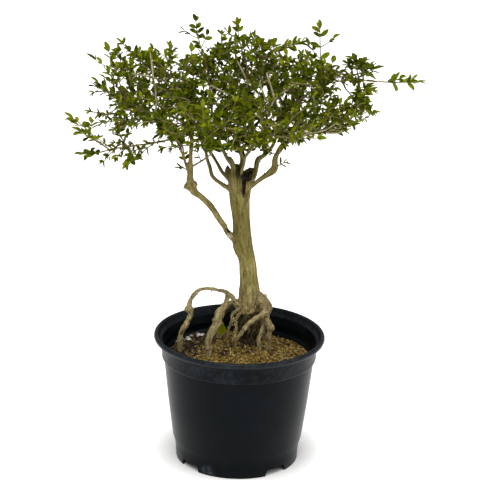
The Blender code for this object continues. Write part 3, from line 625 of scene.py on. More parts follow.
def soilMasks(x, y):
    # How much of the dark mix and of the perlite lies at a place: both at the left and the back left, and the
    # dark mix also as painted shade in dips by the trunk's foot
    patch = noise.noise(Vector((x * 70, y * 70, 3.1)))
    leftward = clip((-x - 0.026 + 0.35 * y) / 0.014 + 0.8 * patch)
    outer = clip((hypot(x, y) - 0.052) / 0.012)
    backLeft = clip(1.3 - abs(degrees(atan2(y, x)) - 129) / 24)
    dots = clip((noise.noise(Vector((x * 130, y * 130, 8.4))) - 0.36) * 5) if x > 0.02 else 0
    near = [1.5 - hypot(x - dipX, y - dipY) / reach for dipX, dipY, reach in soilSizes["paintedShadeDips"]]
    paintedDipShade = clip(max(near) + 0.9 * patch)
    return max(leftward, dots * 0.9, paintedDipShade * 0.85), outer * backLeft


def makeSoil():
    segments, rings = soilSizes["segments"], soilSizes["rings"]
    verts, faces = [], []
    for ring in range(rings + 1):
        radius = soilSizes["reach"] * ring / rings
        sunk = clip((radius - 0.0665) / 0.004)
        for x, y in ringOf(radius, segments):
            lump = noise.fractal(Vector((x * 160, y * 160, 0.7)), 0.6, 2.1, 3) * soilSizes["lumpHeight"]
            level = soilHeight(x, y) + lump
            verts.append((x, y, level * (1 - sunk) + min(level, 0.1020) * sunk))
    top = len(verts)
    for radius, z in soilSizes["below"]:
        verts += [(x, y, z) for x, y in ringOf(radius, segments)]
    faces += [(0, 1 + k, 1 + (k + 1) % segments) for k in range(segments)]
    for low in range(1, len(verts) - segments, segments):
        for k in range(segments):
            after = (k + 1) % segments
            faces.append((low + k, low + segments + k, low + segments + after, low + after))
    faces.append(tuple(range(len(verts) - segments, len(verts))))
    made = newObject("pottingSoil", verts, faces, soilSkin)
    bm = bmesh.new()
    bm.from_mesh(made.data)
    bmesh.ops.recalc_face_normals(bm, faces=bm.faces)
    bm.to_mesh(made.data)
    bm.free()
    made.data.shade_smooth()
    masks = [soilMasks(x, y) for x, y, z in verts]
    setField(made.data, "darkMix", "FLOAT", [dark for dark, _ in masks])
    surface = newObject("soilSurface", verts[:top], faces[: segments * rings])
    inside = [1.0 if hypot(x, y) < 0.0692 else 0.0 for x, y, z in verts[:top]]
    # Dark chips go where the dark mix is, into the painted shade of the dips too
    shares = [(1 - 0.85 * dark, max(0.05, dark), max(0.006, pale)) for dark, pale in masks]
    shares = [[on * share for share in some] for on, some in zip(inside, shares)]
    for name, share in zip(("tanShare", "chipShare", "perliteShare"), zip(*shares)):
        setField(surface.data, name, "FLOAT", share)
    ride(made, "potting_mix", "soil")
    return surface


def makeScatterTree():
    floats = (("Density", "Float"), ("Smallest", "Float"), ("Largest", "Float"))
    sources = (("Geometry", "Geometry"), ("Share Name", "String"), ("Seed", "Int"))
    parts = (("Shapes", "Collection"), ("Skin", "Material"))
    inputs = sources + floats + parts
    s, given, result = newTree("scattered grains", "Geometry", inputs, "Geometry", "Geometry")
    density = s.times(s.field("FLOAT", given["Share Name"]), given["Density"])
    spread = {"Mesh": given["Geometry"], "Density": density, "Seed": given["Seed"]}
    points = s.add("GeometryNodeDistributePointsOnFaces", spread)
    lean = {0: (-0.6, -0.6, 0), 1: (0.6, 0.6, 6.283)}
    turn = s.add("FunctionNodeRandomValue", lean, data_type="FLOAT_VECTOR")
    sizes = {2: given["Smallest"], 3: given["Largest"], "Seed": given["Seed"]}
    size = s.add("FunctionNodeRandomValue", sizes, 1)
    placed = s.instances(given["Shapes"], Points=points, Rotation=turn, Scale=size)
    tone = s.add("FunctionNodeRandomValue", {"Seed": 5}, 1)
    named = {"Name": "crumbTone", "Geometry": placed, "Value": tone}
    kept = s.add("GeometryNodeStoreNamedAttribute", named, domain="INSTANCE")
    s.plug(result, s.skinned(s.add("GeometryNodeRealizeInstances", {0: kept}), given["Skin"]))
    return s.tree


def makeGrains(surface):
    tree = makeScatterTree()
    kinds = (
        ("tanCrumbs", "tanShare", "crumb", 1.15, 0.8, 5, 1, tanCrumbSkin, 11),
        ("barkChips", "chipShare", "chip", 1.7, 0.45, 5, 1, darkChipSkin, 12),
        ("perlite", "perliteShare", "perlite", 1.1, 0.9, 3, 2, perliteSkin, 13),
    )
    for name, share, kind, stretch, flat, count, level, skin, seed in kinds:
        rng = random.Random(seed)

        def uneven(place):
            place = place * rng.uniform(0.72, 1.18)
            return Vector((place.x * stretch, place.y, place.z * flat))

        shapes = bpy.data.collections.new(kind + "Shape")  # a few grains for the scatter to pick from
        for k in range(count):
            shapes.objects.link(roughBall(f"{kind}Shape{k}", level, uneven))
        grains = surface.copy()
        grains.data = surface.data.copy()
        grains.name = name
        small, large = soilSizes[kind + "Size"]
        inputs = {"Share_Name": share, "Density": soilSizes[kind + "Density"], "Shapes": shapes, "Skin": skin}
        withTree(linked(grains), tree, Smallest=small, Largest=large, Seed=seed, **inputs)
        ride(grains, "potting_mix")
        print(name, len(grains.data.polygons), "faces")
    removed(surface)


makeGrains(makeSoil())
print("soil made")


# The wood: routes as in the source, each point with its radius

trunkRoute = mm(
    (10, 8, 147, 11.2), (9, 8, 154, 11), (9, 8, 165, 10.2), (8, 8, 178, 8.8), (5, 8, 200, 8),
    (1, 8, 214, 9.2), (-1, 7, 240, 8.2), (-3, 6, 262, 9.6), (-3, 6, 275, 11.2), (-3, 6, 287, 11.8),
)
coreRoute = mm((10, 8, 152, 10), (10, 8, 142, 5.5), (9, 9, 130, 4.5), (9, 9, 120, 8.5), (9, 9, 116.5, 10))
rootRoutes = {
    "arch": mm(
        (6, 6, 148, 3.4), (-2, 3, 154, 3.1), (-8, 2, 163, 2.9), (-14, 1, 168, 2.9), (-21, 0, 170, 2.4),
        (-31, -1, 172, 2.3), (-40, -2, 170, 2.3), (-46, -2, 163, 2.6), (-49, -2, 155, 3), (-47, -2, 146, 2.6),
        (-51, -2, 136, 2.8), (-56, -2, 127, 2.6), (-57, -2, 118, 2.6),
    ),
    "knotty": mm(
        (-13, 1, 168, 2.7), (-13, -2, 160, 3.2), (-16, -5, 154, 3), (-20, -8, 149, 4.4), (-22, -12, 141, 3.6),
        (-27, -16, 131, 3.6), (-29, -19, 123, 3),
    ),
    "thinLeft": mm((3, 4, 152, 1.7), (-6, 0, 147, 1.7), (-8, 0, 138, 1.6), (-11, 1, 128, 1.5)),
    "thinRight": mm((4, 3, 149, 1.7), (-4, -2, 141, 1.5), (-3, -4, 132, 1.5), (-4, -6, 124, 1.5)),
    "front": mm(
        (12, 6, 163, 4), (18, 2, 166, 4.3), (23, 0, 162, 4.2), (27, -2, 156, 4), (27, -3, 151, 3.6),
        (21, -6, 148, 2.8), (13, -8, 143, 2.6), (6, -9, 137, 2.3), (2, -10, 130, 2), (-4, -11, 123, 1.7),
    ),
    "right": mm((27, -2, 155, 3), (26, -3, 143, 2.7), (29, -3, 134, 3), (28, -2, 123, 2.6)),
    "rightBack": mm((20, 2, 152, 2.3), (22, -1, 139, 1.9), (20, -4, 127, 2), (19, -6, 120, 2.2)),
    "backRight": mm((14, 14, 152, 3.6), (20, 28, 146, 3), (22, 39, 134, 2.8), (23, 44, 118, 2.6)),
    "backLeft": mm((4, 14, 152, 3.4), (-7, 27, 148, 3), (-16, 37, 134, 2.6), (-21, 42, 117, 2.4)),
    "back": mm((11, 16, 152, 3.4), (12, 33, 142, 2.8), (10, 44, 126, 2.6), (10, 48, 115, 2.6)),
}
limbRoutes = {
    "left": mm(
        (1, 7, 212, 5.6), (-10, 2, 224, 4.3), (-19, -2, 238, 3.9), (-29, -6, 255, 4), (-39, -9, 266, 4),
        (-48, -11, 275, 5), (-49, -14, 300, 3.2), (-49, -16, 313, 3), (-48, -20, 332, 2.8),
        (-53, -22, 347, 2.6), (-60, -18, 362, 2.2), (-74, -10, 376, 1.8),
    ),
    "leftStub": mm((-48, -11, 274, 3.6), (-55, -11, 277, 3.4)),
    "leftLong": mm(
        (-50, -13, 286, 2), (-55, -16, 304, 1.8), (-62, -20, 322, 1.8), (-80, -24, 321, 1.6),
        (-102, -28, 318, 1.4), (-120, -30, 316, 1.3),
    ),
    "leftMid": mm((-48, -20, 330, 2), (-62, -20, 343, 1.8), (-86, -18, 348, 1.6), (-108, -16, 349, 1.3)),
    "leftLow": mm(
        (-9, 6, 267, 2.4), (-17, 7, 272, 2.1), (-29, 10, 281, 1.9), (-33, 14, 293, 1.8), (-42, 26, 315, 1.6),
        (-54, 40, 336, 1.4),
    ),
    "leftThin": mm(
        (-9, 9, 272, 2.2), (-21, 15, 286, 1.8), (-27, 22, 294, 1.7), (-37, 34, 306, 1.6), (-48, 58, 330, 1.3),
    ),
    "leftThick": mm(
        (-8, 3, 276, 3.4), (-9, 2, 293, 3.2), (-15, 5, 299, 2.6), (-24, 10, 316, 2.1), (-30, 12, 340, 1.8),
        (-33, 6, 366, 1.5), (-36, 2, 388, 1.2),
    ),
    "middle": mm(
        (-2, 6, 280, 2.6), (-2, 8, 300, 2.3), (-7, 5, 312, 2.2), (-6, -4, 330, 2), (-3, -10, 350, 1.8),
        (3, -10, 372, 1.5), (1, -6, 392, 1.2),
    ),
    "middleBack": mm((-3, 10, 278, 2.4), (-2, 22, 296, 2.1), (4, 40, 318, 1.8), (2, 62, 344, 1.4)),
    "middleFront": mm((-3, 0, 276, 2.3), (0, -18, 300, 1.9), (4, -38, 322, 1.7), (1, -58, 342, 1.4)),
    "rightUp": mm(
        (4, 6, 274, 3), (10, 9, 280, 2.7), (13, 11, 296, 3.2), (20, 15, 301, 2.5), (28, 19, 311, 2.4),
        (31, 21, 327, 2.2), (30, 20, 345, 2), (24, 24, 364, 1.6), (20, 28, 384, 1.2),
    ),
    "rightArm": mm(
        (30, 20, 338, 1.9), (46, 18, 350, 1.8), (60, 12, 363, 1.7), (76, 6, 374, 1.5), (97, 2, 378, 1.3),
        (115, -2, 379, 1.2),
    ),
    "rightLow": mm(
        (3, 4, 269, 3.2), (15, -2, 281, 2.8), (28, -6, 293, 3.8), (30, -9, 307, 2.9), (36, -10, 318, 2.4),
        (52, -12, 327, 2), (70, -14, 333, 1.6),
    ),
    "rightBack": mm((30, -9, 306, 2.2), (44, 10, 322, 1.9), (60, 32, 338, 1.6), (72, 50, 352, 1.3)),
}
woodSizes = {
    "limbFits": {"left": 0.86, "leftLow": 1.32, "leftThin": 1.32},
    "voxel": 0.00085,
    "grown": 0.00012,
    "step": 0.0012,
    "coreWobble": 0.0004,
    "rootWobble": 0.0008,
    "limbWobble": 0.0009,
    "knuckles": (0.20, 0.36),
    "furrow": 0.00042,
    "flute": 0.0007,
    "rootLump": 0.00055,
    "crustLump": 0.0016,
    "strands": 5,
    "strandRadius": 0.0022,
    "strandRing": (0.0095, 0.0085, 0.0095),
    "strandSteps": ((0.153, 0.5), (0.144, 0.9), (0.135, 1.0), (0.126, 0.95), (0.118, 0.5)),
    "socketDepth": 0.006,
    "hollows": mm(((3.6, -6.4, 290.5), (6.2, 6.2, 10)), ((1, -5.8, 276), (1.8, 4.2, 13))),
    "knotHole": mm((-11.2, -1.2, 231.8), 5),
    "holeDepth": 0.0032,
    "scar": mm((-12, -3, 224.5), 4.4),
    "fold": mm((-12.5, 0.8, 217.2), 4.5),
    "burls": mm(
        ((23.2, -1.2, 157), (4.8, 4.8, 7.4)), ((19, -3, 161), (3.4, 3.6, 4.8)),
        ((24.4, -1, 165), (1.6, 1.6, 3)), ((-49, -2.2, 150.8), (4.4, 4.2, 4)),
        ((-17.6, -11, 140.5), (2.4, 2.4, 2)), ((-24, -12, 144), (2.6, 2.4, 2.2)),
        ((-14, 3, 288), (3.4, 3.6, 4)), ((7.2, 1, 288.5), (3.2, 3.4, 3.6)), ((-6, 14, 289), (4, 3.6, 3.6)),
        ((-48, -11, 278), (5.2, 4.6, 5)), ((-19.5, -8.5, 148), (4.4, 4, 3.8)),
        ((30.5, -3.5, 134), (3.4, 3.2, 4)),
    ),
    "crust": mm((10, 4, 151), (18, 16, 10)),
    "cavity": (0.0095, 0.0085, 0.0138, 0.1465),
    "ridges": mm(
        ((-7.8, -2.2, 264, 1.8), (-8.3, -3.6, 274, 3.2), (-9.2, -3.4, 286, 3.4), (-10.5, -0.6, 297, 3),
         (-14, 4, 301, 2.6)),
        ((6, -3, 262, 1.2), (6.4, -3, 274, 2.2), (7.2, -1.6, 286, 2.4)),
    ),
    "rim": (0.2800, 0.0045, 0.0034),
    "soilStain": (0.176, 0.022, 0.75),
    "limbPaleness": (0.0062, 0.002, 0.25),
    "rootlets": 60,
    "rootletPlace": (0.0098, 0.0080),
    "rootletRanges": ((0.006, 0.0105), (0.142, 0.156), (-1.4, 1.4), (0.114, 0.132)),
    "rootletRadii": (0.0006, 0.0012, 0.0004),
    "rootletPaintedShade": (0.9, 0.85, 0.5, 0.2),
    "spurs": 90,
    "spurReach": (0.0010, 0.0032),
    "spurRadii": [0.0007, 0.00055, 0.00025],
    "stemWave": 0.0006,
    "seed": 7,
}


def rooted(route):
    x, y, z, radius = route[-1]
    ground = soilHeight(x, y)
    plumbFrom = ground + radius + 0.0012
    bend = ((x, y, plumbFrom, radius),) if z > plumbFrom + 0.001 else ()
    return route + bend + ((x, y, ground - woodSizes["socketDepth"], radius),)


def strand(k):
    # A thick root that winds down among the others, under the trunk
    route = []
    midX, midY, wide = woodSizes["strandRing"]
    for step, (z, out) in enumerate(woodSizes["strandSteps"]):
        angle = 2 * pi * k / woodSizes["strands"] + 0.5 + 0.35 * step
        reach = out * wide
        route.append((midX + reach * cos(angle), midY + reach * sin(angle), z, woodSizes["strandRadius"]))
    return tuple(route)


def curvedRoute(route, step):
    # A Catmull-Rom curve through the route's points, radii with them
    points = [np.array(p, dtype=float) for p in route]
    ends = [2 * points[0] - points[1], *points, 2 * points[-1] - points[-2]]
    curve = []
    for a, b, c, d in zip(ends, ends[1:], ends[2:], ends[3:]):
        count = max(1, round(float(np.linalg.norm(c[:3] - b[:3])) / step))
        for t in [j / count for j in range(count)]:
            square = (2 * a - 5 * b + 4 * c - d) * t**2
            curve.append(0.5 * (2 * b + (c - a) * t + square + (3 * b - a - 3 * c + d) * t**3))
    return curve + [points[-1]]


def slimmed(route, kind):
    # The finest limbs are thinner than the source's, whose blades need stout ones
    if kind:
        return [(*p[:3], p[3] * (0.93 - 0.22 * clip((p[2] - 0.152) / 0.01))) for p in route]
    return [(*p[:3], p[3] * (0.56 + 0.32 * clip((p[3] - 0.0013) / 0.0027))) for p in route]


def gnarled(curve, wobble, seed, knuckle):
    # Small bends, and knuckles where the radius swells
    gone = 0.0
    result = []
    for k, point in enumerate(curve):
        if k:
            gone += float(np.linalg.norm(point[:3] - curve[k - 1][:3]))
        push = noise.noise_vector(Vector((gone * 95, seed * 3.7, 1.3)))
        fade = min(1.0, k / 4, (len(curve) - 1 - k) / 4)
        swell = 1 + knuckle * 0.5 * noise.noise(Vector((gone * 170, seed * 5.1, 0)))
        swell += knuckle * max(0.0, noise.noise(Vector((gone * 75, seed * 2.3, 7)))) * fade
        result.append(np.append(point[:3] + np.array(push) * wobble * fade, point[3] * swell))
    return result


def framesAlong(curve):
    # Each point with its heading, two sides carried along without twist, and the length so far
    frames, side, gone = [], None, 0.0
    for k, point in enumerate(curve):
        here = Vector(point[:3])
        before, after = (Vector(curve[j][:3]) for j in (max(k - 1, 0), min(k + 1, len(curve) - 1)))
        ahead = (after - before).normalized()
        side = (side - ahead * side.dot(ahead) if side else ahead.orthogonal()).normalized()
        gone += (here - frames[-1][0]).length if frames else 0.0
        frames.append((here, ahead, side, ahead.cross(side), gone, float(point[3])))
    return frames


def addTube(frames, sides, verts, faces):
    rings = []
    turns = [2 * pi * j / sides for j in range(sides)]
    for here, _, side, other, _, radius in frames:
        rings.append([here + (side * cos(t) + other * sin(t)) * (radius + woodSizes["grown"]) for t in turns])
    prismShell(verts, faces, rings)


def lump(name, centre, radii, roughness):
    def moved(place):
        return Vector([c + r * v * roughness(place) for c, r, v in zip(centre, radii, place)])

    return linked(roughBall(name, 3, moved))


def torn(place):
    return 1 + 0.30 * noise.noise(place * 2.6) + 0.16 * noise.noise(place * 7.0)


def makeHollowTrunk(frames):
    verts, faces = [], []
    addTube(frames, 32, verts, faces)
    trunk = newObject("trunk", verts, faces)
    for centre, radii in woodSizes["hollows"]:
        carved(trunk, lump("hollow", centre, radii, torn), "MANIFOLD")
    return trunk


def makeBurls():
    # Swollen knobs that the skin closes over
    for centre, radii in woodSizes["burls"]:
        yield lump("burl", centre, radii, lambda v: 1 + 0.28 * noise.noise(v * 1.9 + Vector(centre) * 400))


def nearestGrain(coords, runs):
    # For each vertex: its place in the frame of the nearest run of wood, and that run's kind and radius
    spots = [(*f[:4], f[4] + 1.7 * k, f[5], float(kind)) for k, (run, kind) in enumerate(runs) for f in run]
    places, aheads, sides, others, gones, radii, kinds = (np.array(column) for column in zip(*spots))
    best = np.empty(len(coords), dtype=int)
    for first in range(0, len(coords), 1500):
        some = coords[first : first + 1500]
        apart = np.linalg.norm(some[:, None, :] - places[None, :, :], axis=2) - radii[None, :]
        best[first : first + 1500] = np.argmin(apart, axis=1)
    offset = coords - places[best]
    across = [np.einsum("ij,ij->i", offset, axis[best]) for axis in (sides, others, aheads)]
    grain = np.stack([across[0], across[1], across[2] + gones[best]], axis=1)
    return grain, kinds[best], radii[best]


def lens(coords, centre, radii, grow=1.0, gain=1.0, drop=0.0, most=1.0):
    # 1 at the middle of a lens, 0 at its edge
    apart = np.linalg.norm((coords - np.array(centre)) / (np.array(radii) * grow), axis=1)
    return np.clip(np.clip(1 - apart, 0, 1) * gain - drop, 0, most)


def woodShapes():
    # Each run's route and number of sides, 1 for a root or 0 for a limb, and its bends
    plain = woodSizes["coreWobble"]
    shapes = [(rooted(coreRoute), 14, 1, plain)]
    shapes += [(strand(k), 8, 1, plain) for k in range(woodSizes["strands"])]
    shapes += [(rooted(route), 12, 1, woodSizes["rootWobble"]) for route in rootRoutes.values()]
    for name, route in limbRoutes.items():
        fit = woodSizes["limbFits"].get(name, 1.0)
        shapes.append(([(*p[:3], p[3] * fit) for p in route], 12, 0, woodSizes["limbWobble"]))
    return shapes + [(route, 12, 0, plain) for route in woodSizes["ridges"]]


def makeSkinnedWood():
    # One closed skin over the trunk, the roots, the limbs and the burls
    step = woodSizes["step"]
    runs = [(framesAlong(curvedRoute(trunkRoute, step)), 0)]
    verts, faces = [], []
    for k, (route, sides, kind, wobble) in enumerate(woodShapes()):
        curve = gnarled(curvedRoute(slimmed(route, kind), step), wobble, k + 1, woodSizes["knuckles"][kind])
        runs.append((framesAlong(curve), kind))
        addTube(runs[-1][0], sides, verts, faces)
    made = joined(newObject("trunkAndRoots", verts, faces), makeHollowTrunk(runs[0][0]), *makeBurls())
    skin = made.modifiers.new("skin", "REMESH")
    skin.mode = "VOXEL"
    skin.voxel_size = woodSizes["voxel"]
    soft = made.modifiers.new("soft", "SMOOTH")
    soft.factor = 0.5
    soft.iterations = 3
    return applied(made), runs


def barkRelief(grain, kind, reach, knobs, crust):
    # How far each vertex moves out, and how dark the painted shade in its crevice is
    push, crevice = np.empty(len(grain)), np.empty(len(grain))
    for k, (a, b, c) in enumerate(grain):
        furrow = noise.noise(Vector((a * 520, b * 520, c * 85)))
        flake = noise.noise(Vector((a * 1100, b * 1100, c * 330)))
        flute = noise.noise(Vector((a * 160, b * 160, c * 28))) if reach[k] > 0.005 else 0.0
        push[k] = woodSizes["furrow"] * min(1.0, reach[k] / 0.006) * (furrow * 0.8 + flake * 0.45)
        push[k] += woodSizes["flute"] * flute
        rough = max(kind[k], knobs[k], crust[k])
        swell = noise.noise(Vector((a * 330, b * 330, c * 300))) if rough else 0.0
        split = abs(noise.noise(Vector((a * 240 + 5, b * 240, c * 190)))) if rough else 0.5
        ridge = min(1.0, split * 7) - 0.8
        knotted = woodSizes["rootLump"] * rough * (swell + 0.7 * ridge)
        push[k] += knotted + woodSizes["crustLump"] * crust[k] * max(-0.2, swell)
        gap = rough * max(0.0, -ridge) * 0.7 + max(0.0, -furrow - 0.28) * 1.4
        crevice[k] = gap + max(0.0, -swell - 0.3) * 0.8
    return push, crevice


def hollowShadeShares(coords):
    # Painted shade: 1 in the trunk's hollows, its knot hole and fold, and the space among the roots
    x, y, wide, top = woodSizes["cavity"]
    inward = np.clip((wide - np.hypot(coords[:, 0] - x, coords[:, 1] - y)) / 0.002, 0, 1)
    dark = [lens(coords, *hollow, 1.25, 9) for hollow in woodSizes["hollows"]]
    dark.append(lens(coords, *woodSizes["knotHole"], gain=3, drop=0.4))
    dark.append(lens(coords, *woodSizes["fold"], gain=3, most=0.85))
    dark.append(inward * np.clip((top - coords[:, 2]) / 0.003, 0, 0.9))
    return np.max(dark, axis=0)


def rootShares(coords, kind, reach):
    # 1 on the roots, less on the stained foot of the trunk and on thin limbs
    top, span, share = woodSizes["soilStain"]
    soilward = np.clip((top - coords[:, 2]) / span, 0, 1) * share
    widest, span, share = woodSizes["limbPaleness"]
    limbward = np.clip((widest - reach) / span, 0, 1) * share
    return np.max([kind, soilward, limbward], axis=0)


def makeWood():
    made, runs = makeSkinnedWood()
    mesh = made.data
    coords, normals = np.empty(len(mesh.vertices) * 3), np.empty(len(mesh.vertices) * 3)
    mesh.vertices.foreach_get("co", coords)
    mesh.vertex_normals.foreach_get("vector", normals)
    coords, normals = coords.reshape(-1, 3), normals.reshape(-1, 3)
    grain, kind, reach = nearestGrain(coords, runs)
    crust = lens(coords, *woodSizes["crust"], gain=2.5)
    knobs = np.max([lens(coords, *burl, 1.5, 3) for burl in woodSizes["burls"]], axis=0)
    push, crevice = barkRelief(grain, kind, reach, knobs, crust)
    push -= woodSizes["holeDepth"] * lens(coords, *woodSizes["knotHole"])
    low, span, drop = woodSizes["rim"]  # the trunk's ragged upper end
    ragged = np.clip((coords[:, 2] - low) / span, 0, 1) * (reach > 0.009)
    jags = np.array([noise.noise(Vector((a * 230, b * 230, 3.0))) for a, b in coords[:, :2]])
    setField(mesh, "grainPlace", "FLOAT_VECTOR", grain)
    setField(mesh, "rootShare", "FLOAT", rootShares(coords, kind, reach))
    setField(mesh, "hollow", "FLOAT", hollowShadeShares(coords))
    setField(mesh, "scar", "FLOAT", lens(coords, *woodSizes["scar"], gain=2, most=0.8))
    # painted shade in the crevices, and darker along the ragged upper end
    setField(mesh, "crevice", "FLOAT", np.clip(np.maximum(crevice, ragged * (0.55 + jags)), 0, 1))
    setField(mesh, "crust", "FLOAT", crust)
    coords += normals * push[:, None]
    coords[:, 2] += ragged * drop * (jags * 1.6 - 0.35)
    mesh.vertices.foreach_set("co", coords.ravel())
    mesh.materials.clear()
    mesh.materials.append(barkSkin)
    mesh.shade_smooth()
    mesh.update()
    print("wood skinned,", len(mesh.polygons), "faces")
    return made, runs


# Skeletons: twigs as edges with radii, leaves as loose points with a turn and a size

class Skeleton:
    def __init__(self):
        self.points, self.edges, self.radii, self.roots, self.hollows, self.leaves = ([] for _ in range(6))

    def addTwig(self, points, radii, rootShare=0.0, hollow=0.0):
        first = len(self.points)
        self.points += [Vector(p) for p in points]
        self.radii += radii
        self.roots += [rootShare] * len(points)
        self.hollows += [hollow] * len(points)
        self.edges += [(first + k, first + k + 1) for k in range(len(points) - 1)]

    def addLeaf(self, rng, leaf, tint):
        self.leaves.append((*leaf, min(0.999, max(0.0, tint)), rng.randrange(4)))


def tapered(first, last, count):
    return [first + (last - first) * k / (count - 1) for k in range(count)]


leafForms = {
    "leaf": (((0.09, 0.40), (0.25, 0.84), (0.45, 1.0), (0.66, 0.90), (0.86, 0.55)), (-1, -0.5, 0, 0.5, 1)),
    "smallLeaf": (((0.14, 0.60), (0.42, 1.0), (0.78, 0.72)), (-1, 0, 1)),
    "thick": 0.035,
    "kinds": ((0.03, 0.12, 0.0), (0.10, 0.20, 0.2), (-0.05, 0.26, -0.15), (0.06, 0.16, 0.45)),
}


def makeLeafShape(name, outline, columns, arch, fold, twist):
    # A closed thin blade of unit length and width, folded along its rib, arched and twisted
    verts, unders, uvs = [], [], []
    last = len(columns) - 1

    def put(x, y, lower):
        lean = twist * (y - 0.3)
        z = fold * abs(x) + x * sin(lean) - arch * y * y
        verts.append((x * cos(lean), y, z - (leafForms["thick"] if lower else 0.0)))
        unders.append(1.0 if lower else 0.0)
        uvs.append((x + 0.5, y))
        return len(verts) - 1

    base, tip = put(0, 0, False), put(0, 1, False)
    layers, faces = [], []
    for lower in (False, True):
        rows = []
        for y, wide in outline:
            # The lower side shares the rim of the upper one
            shared = layers[0][len(rows)] if lower else None
            inner = [put(c * wide / 2, y, lower) for c in columns if not lower or abs(c) < 1]
            rows.append([shared[0], *inner, shared[last]] if lower else inner)
        layers.append(rows)
    for lower, rows in zip((False, True), layers):
        some = []
        for low, high in zip(rows, rows[1:]):
            some += [(low[j], low[j + 1], high[j + 1], high[j]) for j in range(last)]
        some += [(base, rows[0][j + 1], rows[0][j]) for j in range(last)]
        some += [(rows[-1][j], rows[-1][j + 1], tip) for j in range(last)]
        faces += [tuple(reversed(f)) for f in some] if lower else some
    mesh = bpy.data.meshes.new(name)
    mesh.from_pydata(verts, [], faces)
    mesh.update()
    mesh.shade_smooth()
    setField(mesh, "under", "FLOAT", unders)
    layer = mesh.uv_layers.new(name="bladeMap")
    for loop in mesh.loops:
        layer.data[loop.index].uv = uvs[loop.vertex_index]
    rim = {base, tip} | {row[k] for row in layers[0] for k in (0, last)}
    sharp = mesh.attributes.new("sharp_edge", "BOOLEAN", "EDGE")
    for edge in mesh.edges:
        sharp.data[edge.index].value = all(v in rim for v in edge.vertices)
    return mesh


def makeLeafShapes(label):
    folder = bpy.data.collections.new(label + "Shapes")
    for k, kind in enumerate(leafForms["kinds"]):
        mesh = makeLeafShape(f"{label}Shape{k}", *leafForms[label], *kind)
        folder.objects.link(bpy.data.objects.new(mesh.name, mesh))
    return folder


def makeFoliageTree():
    inputs = (("Geometry", "Geometry"), ("Leaf Shapes", "Collection"), ("Twig Sides", "Int"))
    skins = (("Leaf Skin", "Material"), ("Twig Skin", "Material"))
    s, given, result = newTree("twigs and leaves", "Geometry", inputs + skins, "Geometry", "Geometry")
    fields = {"Selection": ("BOOLEAN", "isLeaf"), "Instance_Index": ("INT", "leafShape")}
    fields |= {"Rotation": ("FLOAT_VECTOR", "leafTurn"), "Scale": ("FLOAT_VECTOR", "leafSize")}
    placing = {label: s.field(*field) for label, field in fields.items()}
    placed = s.instances(given["Leaf Shapes"], Points=given["Geometry"], **placing)
    green = s.skinned(s.add("GeometryNodeRealizeInstances", {0: placed}), given["Leaf Skin"])
    course = s.add("GeometryNodeMeshToCurve", {0: given["Geometry"]})
    circle = s.add("GeometryNodeCurvePrimitiveCircle", {"Radius": 1, "Resolution": given["Twig Sides"]})
    sweep = {"Curve": course, "Profile Curve": circle, "Fill Caps": True}
    sweep["Scale"] = s.field("FLOAT", "twigRadius")
    brown = s.skinned(s.add("GeometryNodeCurveToMesh", sweep), given["Twig Skin"])
    both = s.nodes.new("GeometryNodeJoinGeometry")
    for part in (brown, green):
        s.plug(both.inputs[0], part)
    s.plug(result, both.outputs[0])
    return s.tree


